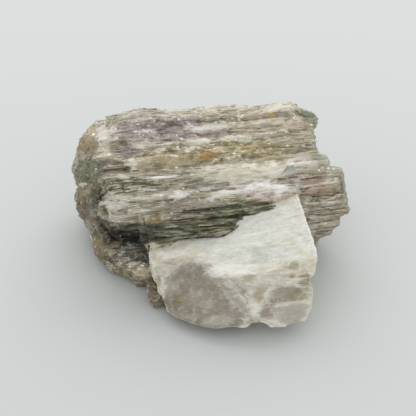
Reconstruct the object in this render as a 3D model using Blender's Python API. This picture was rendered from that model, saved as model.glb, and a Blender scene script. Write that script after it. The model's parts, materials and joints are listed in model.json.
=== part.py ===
"""A rough watermelon tourmaline specimen, grown and broken by nature.

It is a thick sheaf of tourmaline crystals that grew side by side along one axis, with a
wedge-shaped block of white feldspar grown onto its front. Sizes are in millimetres until
they reach Blender, which works in metres.

Frame: +X runs along the crystals' length, +Y points to the back and +Z up. The origin is on
the resting face, under the middle of the specimen's box.
"""

import math
import random
from collections import namedtuple

import bmesh
import bpy
from mathutils import Matrix, Vector
from mathutils.bvhtree import BVHTree

MM = 0.001

# Driving dimensions
GROWTH_GAP = 0.3            # clearance between the sheaf and the feldspar grown onto it
BREAK_SCATTER = 0.9         # how far the crystals' left ends stand in front of or behind the break
SHEAF_AXIS = (12.5, 18.0)   # y and z of the sheaf's middle line
SHEAF_RADII = (13.0, 16.0)  # y and z reach of the inner crystals round it
INNER_SPACING = 5.4
INNER_RIGHT = (25.5, 33.5)  # where the inner crystals' broken right ends lie
RIDGE_COUNT = 120           # thin crystals that ridge the sheaf's surface
RIDGE_LENGTH = (7.0, 26.0)
RIDGE_HALF_WIDTH = (0.6, 1.35)
RIDGE_LIFT = 1.6            # how far the surface may rise or fall along one of them
SEED = 11

# A crystal lies along X from left to right. roll, pitch and yaw turn it about X, Y and Z.
Crystal = namedtuple("Crystal", "left right y z half_width half_height sides roll pitch yaw", defaults=(0, 0, 0))
Face = namedtuple("Face", "point normal")
Chip = namedtuple("Chip", "centre radii")

# The sheaf's core, which its other crystals stand round.
CORE_CRYSTALS = [
    Crystal(-35, 25.5, 16.5, 19.6, 11.0, 17.0, 10, 8, 1.0),
    Crystal(-18, 27, 3.5, 16.5, 10.0, 14.5, 10, 20, 1.0),
    Crystal(-34, -12, 8.5, 18.0, 8.0, 14.0, 9),
    Crystal(-33, 25, 12.0, 7.5, 14.0, 9.0, 10),
]

# The crystals that show on the sheaf's top and front, from the back edge forwards.
FACE_CRYSTALS = [
    Crystal(-30, 34.2, 20.4, 34.2, 4.2, 3.2, 7, 5, 1.5),
    Crystal(-31, 32.4, 15.0, 34.0, 4.8, 3.2, 6, 18, 1.5),
    Crystal(-33, 32.0, 9.2, 32.8, 4.2, 3.2, 7, 20, 1.0),
    Crystal(-30, 8.0, 16.5, 36.8, 6.4, 2.0, 6, 16, 0.8),
    Crystal(6, 27.6, 19.6, 36.2, 3.6, 2.6, 6, 10, 0.5),
    Crystal(-22, 31.6, 5.2, 32.0, 3.4, 2.6, 6, 30, 1.0),
    Crystal(-34, 34.8, 2.8, 29.4, 4.0, 3.6, 7, 35, 0.5),
    Crystal(-30, 38.6, -1.0, 26.8, 3.4, 2.8, 6, 30),
    Crystal(-14, 29.0, -3.4, 25.2, 2.4, 2.2, 6, 20),
    Crystal(2, 39.6, -1.0, 22.0, 4.6, 4.6, 7, 10),
    Crystal(23, 38.0, -4.0, 22.4, 2.0, 2.2, 6),
    Crystal(10, 41.2, 0.4, 16.8, 4.8, 3.2, 7, 15),
    Crystal(8, 39.0, 0.8, 12.2, 4.8, 3.0, 6, 5),
    Crystal(8, 37.0, 1.6, 7.8, 4.8, 3.4, 7, 5),
    Crystal(4, 33.0, 4.0, 4.5, 6.0, 4.8, 8),
    Crystal(-19, 25.0, -5.4, 22.6, 2.8, 2.8, 6, 20),
    Crystal(-18.5, 14.0, -9.2, 20.0, 3.0, 2.6, 6, 5, -1),
    Crystal(-18, 22.0, -7.6, 18.6, 2.8, 2.8, 6, 10),
    Crystal(-18, 18.0, -9.0, 15.0, 3.4, 3.0, 6),
    Crystal(-19, 15.0, -8.2, 10.0, 4.4, 4.0, 7),
]

# The hidden crystals of the back and the underside.
BACK_CRYSTALS = [
    Crystal(-38, 29.0, 24.2, 29.0, 4.2, 5.0, 7, 0, 1.0),
    Crystal(-41, 27.5, 26.4, 20.4, 3.8, 5.4, 6),
    Crystal(-36, 31.0, 25.4, 12.0, 4.2, 5.2, 7),
    Crystal(-33, 28.0, 21.4, 5.0, 5.4, 5.0, 7),
]

# The faces along which the sheaf's left end is broken.
LEFT_BREAK = [
    Face((-32.0, 12.0, 34.4), (-0.93, -0.09, 0.37)),
    Face((-28.4, 24.0, 35.2), (-0.55, 0.25, 0.80)),
    Face((-33.5, 26.5, 27.0), (-0.80, 0.55, 0.25)),
    Face((-37.0, 18.0, 18.0), (-0.99, -0.10, -0.05)),
    Face((-36.6, 16.0, 8.0), (-0.90, -0.20, -0.30)),
    Face((-35.0, 9.5, 8.0), (-0.80, -0.60, 0.00)),
]

# The two crystals that stand out as a ledge at the front of the left end.
LEDGE_CRYSTALS = [
    Crystal(-36, -13.0, 0.4, 22.2, 4.2, 3.0, 7, 20),
    Crystal(-33, -15.0, -2.6, 20.2, 2.8, 2.0, 6, 25),
]
LEDGE_BREAK = [
    Face((-31.8, -1.0, 22.0), (-0.90, -0.40, -0.15)),
]

# The lobe at the sheaf's lower left, and the faces that bound it.
LOBE_CRYSTALS = [
    Crystal(-38, -18.0, 2.0, 8.2, 5.6, 5.8, 8, 10),
    Crystal(-38, -15.0, -3.0, 6.4, 6.0, 6.0, 8, 0, 0, 4),
    Crystal(-34, -12.0, -8.5, 5.0, 4.8, 4.8, 7, 0, 0, 6),
]
LOBE_BREAK = [
    Face((-33.9, 3.0, 9.0), (-0.97, -0.10, 0.20)),
    Face((-34.1, 5.0, 3.0), (-0.90, -0.20, -0.40)),
    Face((-28.0, -6.0, 4.0), (-0.66, -0.68, -0.22)),
    Face((-24.0, -11.0, 7.0), (-0.20, -0.90, 0.36)),
]

# The foot that runs forwards under the feldspar.
FOOT_CRYSTALS = [
    Crystal(-22, -6.0, -14.5, 2.4, 5.0, 3.6, 7, 0, 0, 4),
    Crystal(-17, 22.0, -9.0, 3.4, 8.0, 4.2, 8),
]
FOOT_BREAK = [
    Face((-19.8, -14.0, 2.0), (-0.98, -0.10, -0.15)),
    Face((-18.0, -19.2, 2.0), (-0.70, -0.70, -0.10)),
]

# The feldspar block's corners. Those of its upper face lie on one cleavage plane, and the
# last six are grown into the sheaf.
BLOCK_CORNERS = {
    "upper left": (-11.0, -11.6, 17.6),
    "upper back": (13.3, -7.8, 23.9),
    "peak": (24.2, -5.5, 27.0),
    "right shoulder": (26.1, -20.0, 22.1),
    "right corner": (26.1, -24.4, 20.5),
    "upper front": (9.9, -25.2, 16.9),
    "front ridge": (-0.4, -23.7, 15.4),
    "front left": (-5.0, -18.1, 16.5),
    "back left": (-18.4, -9.8, 14.0),
    "left edge": (-18.2, -12.9, 13.0),
    "left flank": (-18.8, -12.2, 9.5),
    "left foot": (-17.0, -18.1, 6.0),
    "lower left": (-15.1, -22.9, 3.4),
    "bottom left": (-9.5, -27.9, 3.0),
    "bottom": (-2.9, -31.6, 3.8),
    "prow": (9.0, -33.2, 8.0),
    "bottom right": (16.2, -34.4, 4.2),
    "right foot": (21.3, -33.0, 5.2),
    "right flank": (24.9, -28.6, 9.6),
    "root upper left": (-17.5, -2.0, 11.0),
    "root upper right": (24.0, 3.0, 17.0),
    "root lower left": (-15.0, -6.0, 3.5),
    "root lower right": (20.0, -4.0, 4.0),
    "root front left": (-12.0, -20.0, 1.6),
    "root front right": (18.0, -22.0, 2.4),
}

# The notch in the block's back edge, which crystals of the sheaf fill.
NOTCH_MIDDLE = Vector((3.0, 0.0, 20.0))
NOTCH_SIZE = 40.0
NOTCH_FACES = [
    Face((2.6, -12.6, 20.0), (-0.06, -1.0, 0.0)),
    Face((2.6, -12.6, 20.0), (0.40, -0.92, 0.0)),
    Face((2.6, -12.6, 12.0), (0.0, -0.3, -0.95)),
    Face((-13.0, 0.0, 0.0), (-1.0, 0.0, 0.0)),
    Face((16.0, 0.0, 0.0), (1.0, 0.0, 0.0)),
]

# Shell-shaped hollows where chips have broken from the block's edges.
BLOCK_CHIPS = [
    Chip((28.6, -11.0, 25.6), (4.0, 5.5, 5.0)),
    Chip((9.0, -35.0, 0.6), (5.0, 5.5, 6.0)),
    Chip((20.5, -39.5, 9.5), (6.5, 8.0, 6.5)),
    Chip((29.0, -29.5, 15.5), (4.0, 4.5, 4.5)),
    Chip((-20.6, -19.5, 9.5), (3.2, 4.0, 4.5)),
    Chip((14.0, -29.6, 17.8), (6.0, 3.4, 2.8)),
]


def object_from(bm, name):
    """Links a new object that holds the bmesh, and frees the bmesh."""
    mesh = bpy.data.meshes.new(name)
    bm.to_mesh(mesh)
    bm.free()
    made = bpy.data.objects.new(name, mesh)
    bpy.context.scene.collection.objects.link(made)
    return made


def crystal_solid(crystal, dice):
    """A prism along X with an irregular section, whose two ends are broken a little askew."""
    middle = Vector(((crystal.left + crystal.right) / 2, crystal.y, crystal.z))
    turn = (
        Matrix.Rotation(math.radians(crystal.yaw), 3, "Z")
        @ Matrix.Rotation(math.radians(crystal.pitch), 3, "Y")
        @ Matrix.Rotation(math.radians(crystal.roll), 3, "X")
    )
    section = []
    for i in range(crystal.sides):
        angle = math.tau * (i + dice.uniform(-0.18, 0.18)) / crystal.sides
        section.append((crystal.half_width * math.cos(angle), crystal.half_height * math.sin(angle)))
    bm = bmesh.new()
    rings = []
    for end in (crystal.left, crystal.right):
        slant_y = dice.uniform(-0.25, 0.25)
        slant_z = dice.uniform(-0.2, 0.2)
        ring = []
        for y, z in section:
            along = end - middle.x + slant_y * y + slant_z * z
            ring.append(bm.verts.new((middle + turn @ Vector((along, y, z))) * MM))
        bm.faces.new(ring)
        rings.append(ring)
    for i in range(crystal.sides):
        after = (i + 1) % crystal.sides
        bm.faces.new((rings[0][i], rings[1][i], rings[1][after], rings[0][after]))
    bmesh.ops.recalc_face_normals(bm, faces=bm.faces)
    return bm


def break_off(bm, faces, shift=0.0):
    """Splits off what lies outside the break faces, each moved out by shift."""
    for face in faces:
        normal = Vector(face.normal).normalized()
        everything = bm.verts[:] + bm.edges[:] + bm.faces[:]
        point = (Vector(face.point) + normal * shift) * MM
        cut = bmesh.ops.bisect_plane(bm, geom=everything, plane_co=point, plane_no=normal, clear_outer=True)
        rim = [edge for edge in cut["geom_cut"] if isinstance(edge, bmesh.types.BMEdge)]
        if rim:
            bmesh.ops.contextual_create(bm, geom=rim)
    bmesh.ops.recalc_face_normals(bm, faces=bm.faces)


def block_hull(grow=0.0):
    """The hull of the block's corners, grown by at least grow on every side."""
    bm = bmesh.new()
    steps = (-grow, grow) if grow else (0.0,)
    for corner in BLOCK_CORNERS.values():
        for dx in steps:
            for dy in steps:
                for dz in steps:
                    bm.verts.new((Vector(corner) + Vector((dx, dy, dz))) * MM)
    hull = bmesh.ops.convex_hull(bm, input=bm.verts)
    inside = [part for part in hull["geom_interior"] if isinstance(part, bmesh.types.BMVert)]
    bmesh.ops.delete(bm, geom=inside, context="VERTS")
    bmesh.ops.recalc_face_normals(bm, faces=bm.faces)
    return bm


def block_solid(name, grow=0.0):
    """The block with the notch in its back edge, grown by at least grow on every side."""
    block = object_from(block_hull(grow), name)
    bm = bmesh.new()
    bmesh.ops.create_cube(bm, size=NOTCH_SIZE * MM, matrix=Matrix.Translation(NOTCH_MIDDLE * MM))
    break_off(bm, NOTCH_FACES, -grow)
    apply_boolean(block, "DIFFERENCE", [object_from(bm, "notch")])
    return block


def apply_boolean(target, operation, others):
    """Joins the others to the target, or cuts them from it, and removes them."""
    helpers = bpy.data.collections.new("helpers")
    for other in others:
        helpers.objects.link(other)
    modifier = target.modifiers.new(operation.title(), "BOOLEAN")
    modifier.operation = operation
    modifier.solver = "EXACT"
    modifier.operand_type = "COLLECTION"
    modifier.collection = helpers
    graph = bpy.context.evaluated_depsgraph_get()
    target.data = bpy.data.meshes.new_from_object(target.evaluated_get(graph))
    target.modifiers.clear()
    for other in others:
        bpy.data.objects.remove(other)
    bpy.data.collections.remove(helpers)


def keep_largest(bm):
    """Drops the crumbs that a cut has left loose beside the main body."""
    unseen = set(bm.verts)
    bodies = []
    while unseen:
        body = set()
        edge = {next(iter(unseen))}
        while edge:
            body |= edge
            edge = {e.other_vert(v) for v in edge for e in v.link_edges} - body
        bodies.append(body)
        unseen -= body
    bodies.sort(key=len)
    crumbs = [vert for body in bodies[:-1] for vert in body]
    bmesh.ops.delete(bm, geom=crumbs, context="VERTS")


def inner_crystals(dice):
    """Crystals packed side by side through the sheaf, with their right ends at different lengths."""
    reach_y, reach_z = SHEAF_RADII
    columns = int(reach_y / INNER_SPACING)
    rows = int(reach_z / INNER_SPACING)
    packed = []
    for row in range(-rows, rows + 1):
        for column in range(-columns, columns + 1):
            y = (column + row % 2 / 2 + dice.uniform(-0.2, 0.2)) * INNER_SPACING
            z = (row + dice.uniform(-0.2, 0.2)) * INNER_SPACING
            if (y / reach_y) ** 2 + (z / reach_z) ** 2 > 1:
                continue
            half_width = INNER_SPACING * dice.uniform(0.5, 0.72)
            packed.append(Crystal(
                -42, dice.uniform(*INNER_RIGHT), SHEAF_AXIS[0] + y, SHEAF_AXIS[1] + z,
                half_width, half_width * dice.uniform(0.8, 1.1), dice.randint(5, 7), dice.uniform(0, 60),
            ))
    return packed


def surface_ridges(sheaf, dice):
    """Thin crystals, each half sunk in the sheaf's surface and lying along X."""
    bm = bmesh.new()
    bm.from_mesh(sheaf.data)
    surface = BVHTree.FromBMesh(bm)
    bm.free()
    ridges = []
    while len(ridges) < RIDGE_COUNT:
        length = dice.uniform(*RIDGE_LENGTH)
        left = dice.uniform(-33.0, 38.0 - length)
        angle = math.radians(dice.uniform(-35.0, 250.0))
        outwards = Vector((0, math.cos(angle), math.sin(angle)))
        start = Vector((left + length / 2, *SHEAF_AXIS)) + outwards * 60.0
        hit = surface.ray_cast(start * MM, -outwards)[0]
        reach = Vector((length / 2 - 1, 0, 0))
        ends = [surface.ray_cast((start + side * reach) * MM, -outwards)[0] for side in (-1, 1)]
        if not all(end and abs((end - hit).dot(outwards)) < RIDGE_LIFT * MM for end in ends):
            continue
        half_width = dice.uniform(*RIDGE_HALF_WIDTH)
        crystal = Crystal(
            left, left + length, hit.y / MM, hit.z / MM, half_width * 1.5, half_width, 6,
            math.degrees(angle) + 90 + dice.uniform(-15, 15), dice.uniform(-1, 1), dice.uniform(-2, 2),
        )
        bm = crystal_solid(crystal, dice)
        break_off(bm, LEFT_BREAK, BREAK_SCATTER)
        ridges.append(object_from(bm, f"ridge_{len(ridges)}"))
    return ridges


def tourmaline_crystals(dice):
    """The whole sheaf with its lobe and foot, as one solid that the feldspar's recess is cut from."""
    grown = []
    for crystals, faces in (
        (CORE_CRYSTALS + FACE_CRYSTALS + BACK_CRYSTALS + inner_crystals(dice), LEFT_BREAK),
        (LEDGE_CRYSTALS, LEDGE_BREAK),
        (LOBE_CRYSTALS, LOBE_BREAK),
        (FOOT_CRYSTALS, FOOT_BREAK),
    ):
        for crystal in crystals:
            bm = crystal_solid(crystal, dice)
            break_off(bm, faces, dice.uniform(-BREAK_SCATTER, BREAK_SCATTER))
            grown.append(object_from(bm, f"crystal_{len(grown)}"))
    sheaf = grown[0]
    sheaf.name = "tourmaline_crystals"
    apply_boolean(sheaf, "UNION", grown[1:])
    apply_boolean(sheaf, "UNION", surface_ridges(sheaf, dice))
    apply_boolean(sheaf, "DIFFERENCE", [block_solid("recess", GROWTH_GAP)])
    bm = bmesh.new()
    bm.from_mesh(sheaf.data)
    break_off(bm, [Face((0, 0, 0), (0, 0, -1))])
    keep_largest(bm)
    bm.to_mesh(sheaf.data)
    bm.free()
    return sheaf


def feldspar_block():
    """The block, with its chips broken out."""
    block = block_solid("feldspar_block")
    scoops = []
    for n, chip in enumerate(BLOCK_CHIPS):
        bm = bmesh.new()
        shape = Matrix.LocRotScale(Vector(chip.centre) * MM, None, Vector(chip.radii) * MM)
        bmesh.ops.create_icosphere(bm, subdivisions=2, radius=1.0, matrix=shape)
        scoops.append(object_from(bm, f"scoop_{n}"))
    apply_boolean(block, "DIFFERENCE", scoops)
    return block


def material(name, colour, roughness):
    made = bpy.data.materials.new(name)
    made.use_nodes = True
    shader = made.node_tree.nodes["Principled BSDF"]
    shader.inputs["Base Color"].default_value = (*colour, 1.0)
    shader.inputs["Roughness"].default_value = roughness
    return made


def centre(pieces):
    """Moves the pieces together so that the origin lies under the middle of their box."""
    corners = [vert.co for piece in pieces for vert in piece.data.vertices]
    low = Vector(map(min, zip(*corners)))
    high = Vector(map(max, zip(*corners)))
    shift = -(low + high) / 2
    shift.z = -low.z
    for piece in pieces:
        piece.data.transform(Matrix.Translation(shift))


def main():
    for old in list(bpy.data.objects):
        bpy.data.objects.remove(old)
    sheaf = tourmaline_crystals(random.Random(SEED))
    sheaf.data.materials.append(material("olive_lilac_tourmaline", (0.33, 0.29, 0.24), 0.5))
    block = feldspar_block()
    block.data.materials.append(material("white_feldspar", (0.78, 0.76, 0.71), 0.45))
    centre((sheaf, block))


if __name__ == "__main__":
    main()
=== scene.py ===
"""A rough watermelon tourmaline specimen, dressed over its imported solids.

Two natural solids carry the look: a sheaf of tourmaline crystals that run along X, and a
wedge of white feldspar grown onto its front. Lengths in the code are in millimetres until
they reach Blender, unless a property says otherwise.
"""

import json
import math
from collections import namedtuple

import bpy
from bpy.props import FloatProperty, FloatVectorProperty, IntProperty, PointerProperty
from mathutils import Matrix, Vector

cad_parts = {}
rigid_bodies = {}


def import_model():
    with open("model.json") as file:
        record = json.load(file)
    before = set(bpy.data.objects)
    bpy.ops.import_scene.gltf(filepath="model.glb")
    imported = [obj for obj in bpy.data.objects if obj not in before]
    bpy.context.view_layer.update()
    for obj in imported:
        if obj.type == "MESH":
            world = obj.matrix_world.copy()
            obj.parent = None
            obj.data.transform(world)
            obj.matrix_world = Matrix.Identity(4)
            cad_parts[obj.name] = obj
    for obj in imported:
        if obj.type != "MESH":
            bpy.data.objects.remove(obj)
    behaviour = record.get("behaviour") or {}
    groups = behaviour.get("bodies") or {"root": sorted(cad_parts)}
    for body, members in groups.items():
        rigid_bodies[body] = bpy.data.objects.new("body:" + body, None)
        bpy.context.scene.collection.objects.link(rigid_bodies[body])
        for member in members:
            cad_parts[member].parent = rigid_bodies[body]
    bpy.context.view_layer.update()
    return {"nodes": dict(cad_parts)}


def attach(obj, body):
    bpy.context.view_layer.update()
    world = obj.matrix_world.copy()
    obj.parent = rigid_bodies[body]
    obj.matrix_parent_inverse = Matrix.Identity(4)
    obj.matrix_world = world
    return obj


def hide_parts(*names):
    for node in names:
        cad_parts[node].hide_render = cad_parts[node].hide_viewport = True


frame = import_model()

bl_info = {
    "name": "Watermelon tourmaline specimen",
    "version": (1, 0, 0),
    "blender": (4, 5, 0),
    "location": "View3D > Sidebar > Specimen",
    "description": "Builds a rough tourmaline and feldspar specimen on its solids",
    "category": "Add Mesh",
}

MM = 0.001
PER_SQUARE_METRE = 1e4


def settings():
    return bpy.context.scene.specimen


def srgb(code):
    """The linear colour of a six-digit screen colour."""
    parts = (int(code[i:i + 2], 16) / 255 for i in (0, 2, 4))
    return tuple(p / 12.92 if p <= 0.04045 else ((p + 0.055) / 1.055) ** 2.4 for p in parts)


# ---------------------------------------------------------------- settings


def length(name, description, millimetres):
    return FloatProperty(
        name=name, description=description, default=millimetres * MM, unit="LENGTH", precision=5,
    )


def amount(name, description, value, subtype="NONE"):
    return FloatProperty(name=name, description=description, default=value, subtype=subtype)


def degrees(name, description, value):
    return amount(name, description, math.radians(value), "ANGLE")


def count(name, description, value):
    return IntProperty(name=name, description=description, default=value)


def colour(name, description, code):
    return FloatVectorProperty(
        name=name, description=description, default=srgb(code), subtype="COLOR", size=3, min=0, max=1,
    )


class SheafSettings(bpy.types.PropertyGroup):
    voxel: length("Voxel", "Size of the cells that the sheaf's skin is remeshed with", 0.25)
    stretch: amount("Stretch", "How much longer than wide the skin's cells are", 2.5)
    softening: count("Softening", "Smoothing passes over the prisms' sharp edges", 14)
    kept: amount("Kept", "Share of the skin's faces that are kept", 0.6, "FACTOR")
    splinter_length: length("Splinter length", "Usual length of the splinters along the crystals", 9.0)
    splinter_width: length("Splinter width", "Usual width of the splinters", 1.2)
    splinter_height: length("Splinter height", "How far the splinters stand at different heights", 0.25)
    groove_depth: length("Groove depth", "Depth of the grooves between splinters", 0.1)
    rib_height: length("Rib height", "Height of the broad ribs", 0.9)
    fibre_height: length("Fibre height", "Height of the fine fibres", 0.5)
    knoll_height: length("Knoll height", "Height of the broad knolls", 0.8)
    lump_height: length("Lump height", "Height of the rough lumps where the crystals are broken", 1.0)
    crumb_height: length("Crumb height", "Height of the small grains on the lumps", 0.5)


class NeedleSettings(bpy.types.PropertyGroup):
    density: amount("Density", "Needles on each square centimetre of fibrous skin", 90.0)
    shortest: length("Shortest", "Length of the shortest needles", 2.0)
    longest: length("Longest", "Length of the longest needles", 10.0)
    thinnest: length("Thinnest", "Half width of the thinnest needles", 0.08)
    thickest: length("Thickest", "Half width of the thickest needles", 0.3)
    splay: degrees("Splay", "How far needles turn from the crystals' line", 2.5)
    reach: length("Reach", "How far a needle's ends may stand off the skin", 0.4)


class MicaSettings(bpy.types.PropertyGroup):
    density: amount("Density", "Flakes on each square centimetre of full mica", 420.0)
    smallest: length("Smallest", "Half width of the smallest flakes", 0.12)
    largest: length("Largest", "Half width of the largest flakes", 0.42)
    tilt: degrees("Tilt", "How far flakes lean from the skin that they lie on", 20)


class FeldsparSettings(bpy.types.PropertyGroup):
    voxel: length("Voxel", "Size of the cells that the feldspar's skin is remeshed with", 0.27)
    softening: count("Softening", "Smoothing passes over the broken edges", 1)
    swell: length("Swell", "How far the skin stands over the solid, into the sheaf", 0.25)
    step_height: length("Step height", "Height of the small cleavage steps", 0.1)
    bruise_height: length("Bruise height", "Height of the small rough lumps on the bruised edges", 0.4)
    rough_height: length("Roughness height", "Height of the uneven break between the cleavages", 0.35)


class Palette(bpy.types.PropertyGroup):
    fibre: colour("Fibre", "Plain tourmaline fibre", "A89E88")
    lilac: colour("Lilac", "Lilac mica", "9E8E8D")
    mauve: colour("Mauve", "Darkest lilac mica", "897879")
    mica_white: colour("White mica", "Silvery mica", "DDD6CB")
    cream: colour("Cream", "Weathered white fibre", "ECE7D8")
    white: colour("White", "Fresh white fibre", "F6F4EF")
    beige: colour("Beige", "Weathered beige", "BCAE90")
    pink_beige: colour("Pink beige", "Pale pinkish fibre", "C6B8A2")
    olive_brown: colour("Olive brown", "Olive brown fibre", "9C8C62")
    olive_yellow: colour("Olive yellow", "Yellowest fibre", "AD9A63")
    iron: colour("Iron", "Iron stain", "9C6A1C")
    grey_brown: colour("Grey brown", "Grey brown fibre", "A0967F")
    green_grey: colour("Green grey", "Green outer zone of the crystals", "9C9E8A")
    blue_grey: colour("Blue grey", "Bare blue grey face", "AEAFA9")
    rose: colour("Rose", "Rose core of the crystals", "C4A396")
    pink_brown: colour("Pink brown", "Brownish pink core", "A48873")
    moss: colour("Moss", "Moss green fibres", "71724E")
    dark_green: colour("Dark green", "Dark green rind", "707058")
    dark_olive: colour("Dark olive", "Dark olive needles", "5E5C44")
    grey_purple: colour("Grey purple", "Greyish purple fibre", "8E8175")
    tan: colour("Tan", "Tan rind", "7E7158")
    brown: colour("Brown", "Brown foot", "6C6053")
    ochre: colour("Ochre", "Ochre stain", "8C7848")
    olive_grey: colour("Olive grey", "Pale olive fibre of the dark face", "B0AE90")
    slate: colour("Slate", "Bare grey blue break", "AAADA7")
    gold: colour("Gold", "Bright gold stain", "E3BB6C")
    pale_rim: colour("Pale rim", "Palest green of the crystals' outer zone", "B6BAA6")
    iron_gold: colour("Gold stain", "Orange gold stain of iron", "A8853F")
    # Used only by the rose spots by the feldspar's tip, where it is painted light lifting a patch that
    # lies in shade.
    lilac_white: colour("Pinkish white", "Fresh pinkish white mica", "F0E7E3")
    feldspar_stain: colour("Stained feldspar", "Yellowish brown stain", "998C68")
    feldspar_smoke: colour("Smoky feldspar", "Darkest clouds of the glassy break", "7C7364")
    warm_grey: colour("Warm grey", "Warm brownish grey fibre", "A2937D")
    # Black also paints the recess and the gaps by the tongue, where it is partly painted shade.
    black: colour("Black", "Near black tourmaline", "2E2C22")
    feldspar_blue: colour("Bluish feldspar", "Fresh cleavage", "DEDDD4")
    feldspar_cream: colour("Cream feldspar", "Weathered edges", "E2DBC8")
    feldspar_pink: colour("Pinkish feldspar", "Glassy pinkish grey break", "8F8577")
    feldspar_rim: colour("Feldspar rim", "Cream bruised feldspar", "DAD3C0")
    feldspar_front: colour("Feldspar front", "Pinkish beige feldspar of the front", "CBC4B4")
    feldspar_pale: colour("Pale feldspar", "Pale break", "BDB6A7")
    feldspar_rose: colour("Rosy feldspar", "Pale rosy facet", "B3A89B")
    feldspar_tan: colour("Tan feldspar", "Brownish facet", "A99C88")
    feldspar_shell: colour("Shell feldspar", "Shell-shaped break", "B3ADA1")


class StageSettings(bpy.types.PropertyGroup):
    floor_colour: colour("Floor", "Pale floor", "CCCECD")
    key_power: amount("Key power", "Power of the softbox overhead, in watts", 5.6)
    fill: amount("Fill", "Strength of the even light from all round", 0.84)


class SpecimenSettings(bpy.types.PropertyGroup):
    sheaf: PointerProperty(type=SheafSettings)
    needles: PointerProperty(type=NeedleSettings)
    mica: PointerProperty(type=MicaSettings)
    feldspar: PointerProperty(type=FeldsparSettings)
    palette: PointerProperty(type=Palette)
    stage: PointerProperty(type=StageSettings)


# ---------------------------------------------------------------- node expressions


class Value:
    """A node's output, to which Python's arithmetic adds Math nodes."""

    def __init__(self, graph, socket):
        self.graph = graph
        self.socket = socket

    def math(self, operation, *values):
        return self.graph.node("ShaderNodeMath", {"operation": operation}, values)

    def __add__(self, other):
        return self.math("ADD", self, other)

    __radd__ = __add__

    def __sub__(self, other):
        return self.math("SUBTRACT", self, other)

    def __rsub__(self, other):
        return self.math("SUBTRACT", other, self)

    def __mul__(self, other):
        return self.math("MULTIPLY", self, other)

    __rmul__ = __mul__

    def __truediv__(self, other):
        return self.math("DIVIDE", self, other)

    def __pow__(self, other):
        return self.math("POWER", self, other)

    def __abs__(self):
        return self.math("ABSOLUTE", self)

    def __gt__(self, other):
        return self.math("GREATER_THAN", self, other)

    def __lt__(self, other):
        return self.math("LESS_THAN", self, other)

    def least(self, other):
        return self.math("MINIMUM", self, other)

    def most(self, other):
        return self.math("MAXIMUM", self, other)

    def ramp(self, low, high, start=0.0, end=1.0):
        """Rises smoothly from start to end while the value goes from low to high."""
        settings = {"interpolation_type": "SMOOTHSTEP"}
        return self.graph.node("ShaderNodeMapRange", settings, (self, low, high, start, end))


class Graph:
    """A node tree, and the few ways in which nodes are added to it."""

    def __init__(self, tree):
        self.tree = tree

    def node(self, kind, settings=None, values=(), output=0):
        """Adds a node, with its settings first and then its sockets' values or links."""
        made = self.tree.nodes.new(kind)
        for name, value in (settings or {}).items():
            setattr(made, name, value)
        for key, value in values.items() if isinstance(values, dict) else enumerate(values):
            if isinstance(value, Value):
                self.tree.links.new(value.socket, made.inputs[key])
            elif value is not None:
                made.inputs[key].default_value = value
        return Value(self, made.outputs[output]) if len(made.outputs) else made

    def vector(self, operation, *values, output=0):
        return self.node("ShaderNodeVectorMath", {"operation": operation}, values, output)

    def scaled(self, vector, factor):
        return self.node("ShaderNodeVectorMath", {"operation": "SCALE"}, {0: vector, 3: factor})

    def away(self, place, middle, reach):
        """How far a place is from a middle, with one unit the reach along X, Y and Z."""
        size = tuple(1 / r for r in reach)
        shift = tuple(-m / r for m, r in zip(middle, reach))
        return self.vector("LENGTH", self.vector("MULTIPLY_ADD", place, size, shift), output=1)

    def stretched(self, place, size, offset=0.0):
        """Pattern coordinates in which one unit is the given size along X, Y and Z."""
        return self.node(
            "ShaderNodeVectorMath", {"operation": "MULTIPLY_ADD"},
            (place, tuple(1 / s for s in size), (offset, offset * 1.7, offset * 2.3)),
        )

    def noise(self, place, size, detail=2.0, roughness=0.5, offset=0.0, output=0):
        stretched = self.stretched(place, size, offset)
        values = {"Vector": stretched, "Scale": 1.0, "Detail": detail, "Roughness": roughness}
        return self.node("ShaderNodeTexNoise", {}, values, output)

    def cells(self, place, size, feature="F1", offset=0.0, output=0):
        values = {"Vector": self.stretched(place, size, offset), "Scale": 1.0}
        return self.node("ShaderNodeTexVoronoi", {"feature": feature}, values, output)

    def cell_chance(self, place, size, offset=0.0):
        """A different value from 0 to 1 in each cell."""
        parts = self.cells(place, size, offset=offset, output=1)
        return self.node("ShaderNodeSeparateXYZ", {}, (parts,))

    def mix(self, factor, a, b):
        return self.node("ShaderNodeMix", {"data_type": "FLOAT"}, (factor, None, a, b))

    def tint(self, factor, a, b, blend="MIX"):
        settings = {"data_type": "RGBA", "blend_type": blend}
        solid = [(*c, 1.0) if isinstance(c, (tuple, list)) else c for c in (a, b)]
        return self.node("ShaderNodeMix", settings, {0: factor, 6: solid[0], 7: solid[1]}, 2)

    def shaded(self, colour, by):
        return self.tint(1.0, colour, by, "MULTIPLY")

    def place(self):
        """The object's own coordinates, in millimetres."""
        if self.tree.type == "GEOMETRY":
            here = self.node("GeometryNodeInputPosition")
        else:
            here = self.node("ShaderNodeTexCoord", {}, (), 3)
        return self.scaled(here, 1 / MM)


SOCKET_KINDS = {"number": "NodeSocketFloat", "vector": "NodeSocketVector", "colour": "NodeSocketColor"}


def grouped(graph, build, given, results):
    """Adds a node group filled by build, because long node trees are slow to edit.

    given holds a kind and a value for each input, results a kind for each output."""
    tree = bpy.data.node_groups.new(build.__name__, graph.tree.bl_idname)
    for way, kinds in (("INPUT", [kind for kind, value in given]), ("OUTPUT", results)):
        for number, kind in enumerate(kinds):
            tree.interface.new_socket(f"{kind} {number}", in_out=way, socket_type=SOCKET_KINDS[kind])
    inner = Graph(tree)
    entry = inner.node("NodeGroupInput").socket.node.outputs
    inputs = [Value(inner, entry[number]) for number in range(len(given))]
    inner.node("NodeGroupOutput", {}, build(inner, *inputs))
    kind = graph.tree.bl_idname.replace("Tree", "Group")
    made = graph.node(kind, {"node_tree": tree}, [value for kind, value in given]).socket.node.outputs
    return [Value(graph, made[number]) for number in range(len(results))]


# ---------------------------------------------------------------- tables


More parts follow.
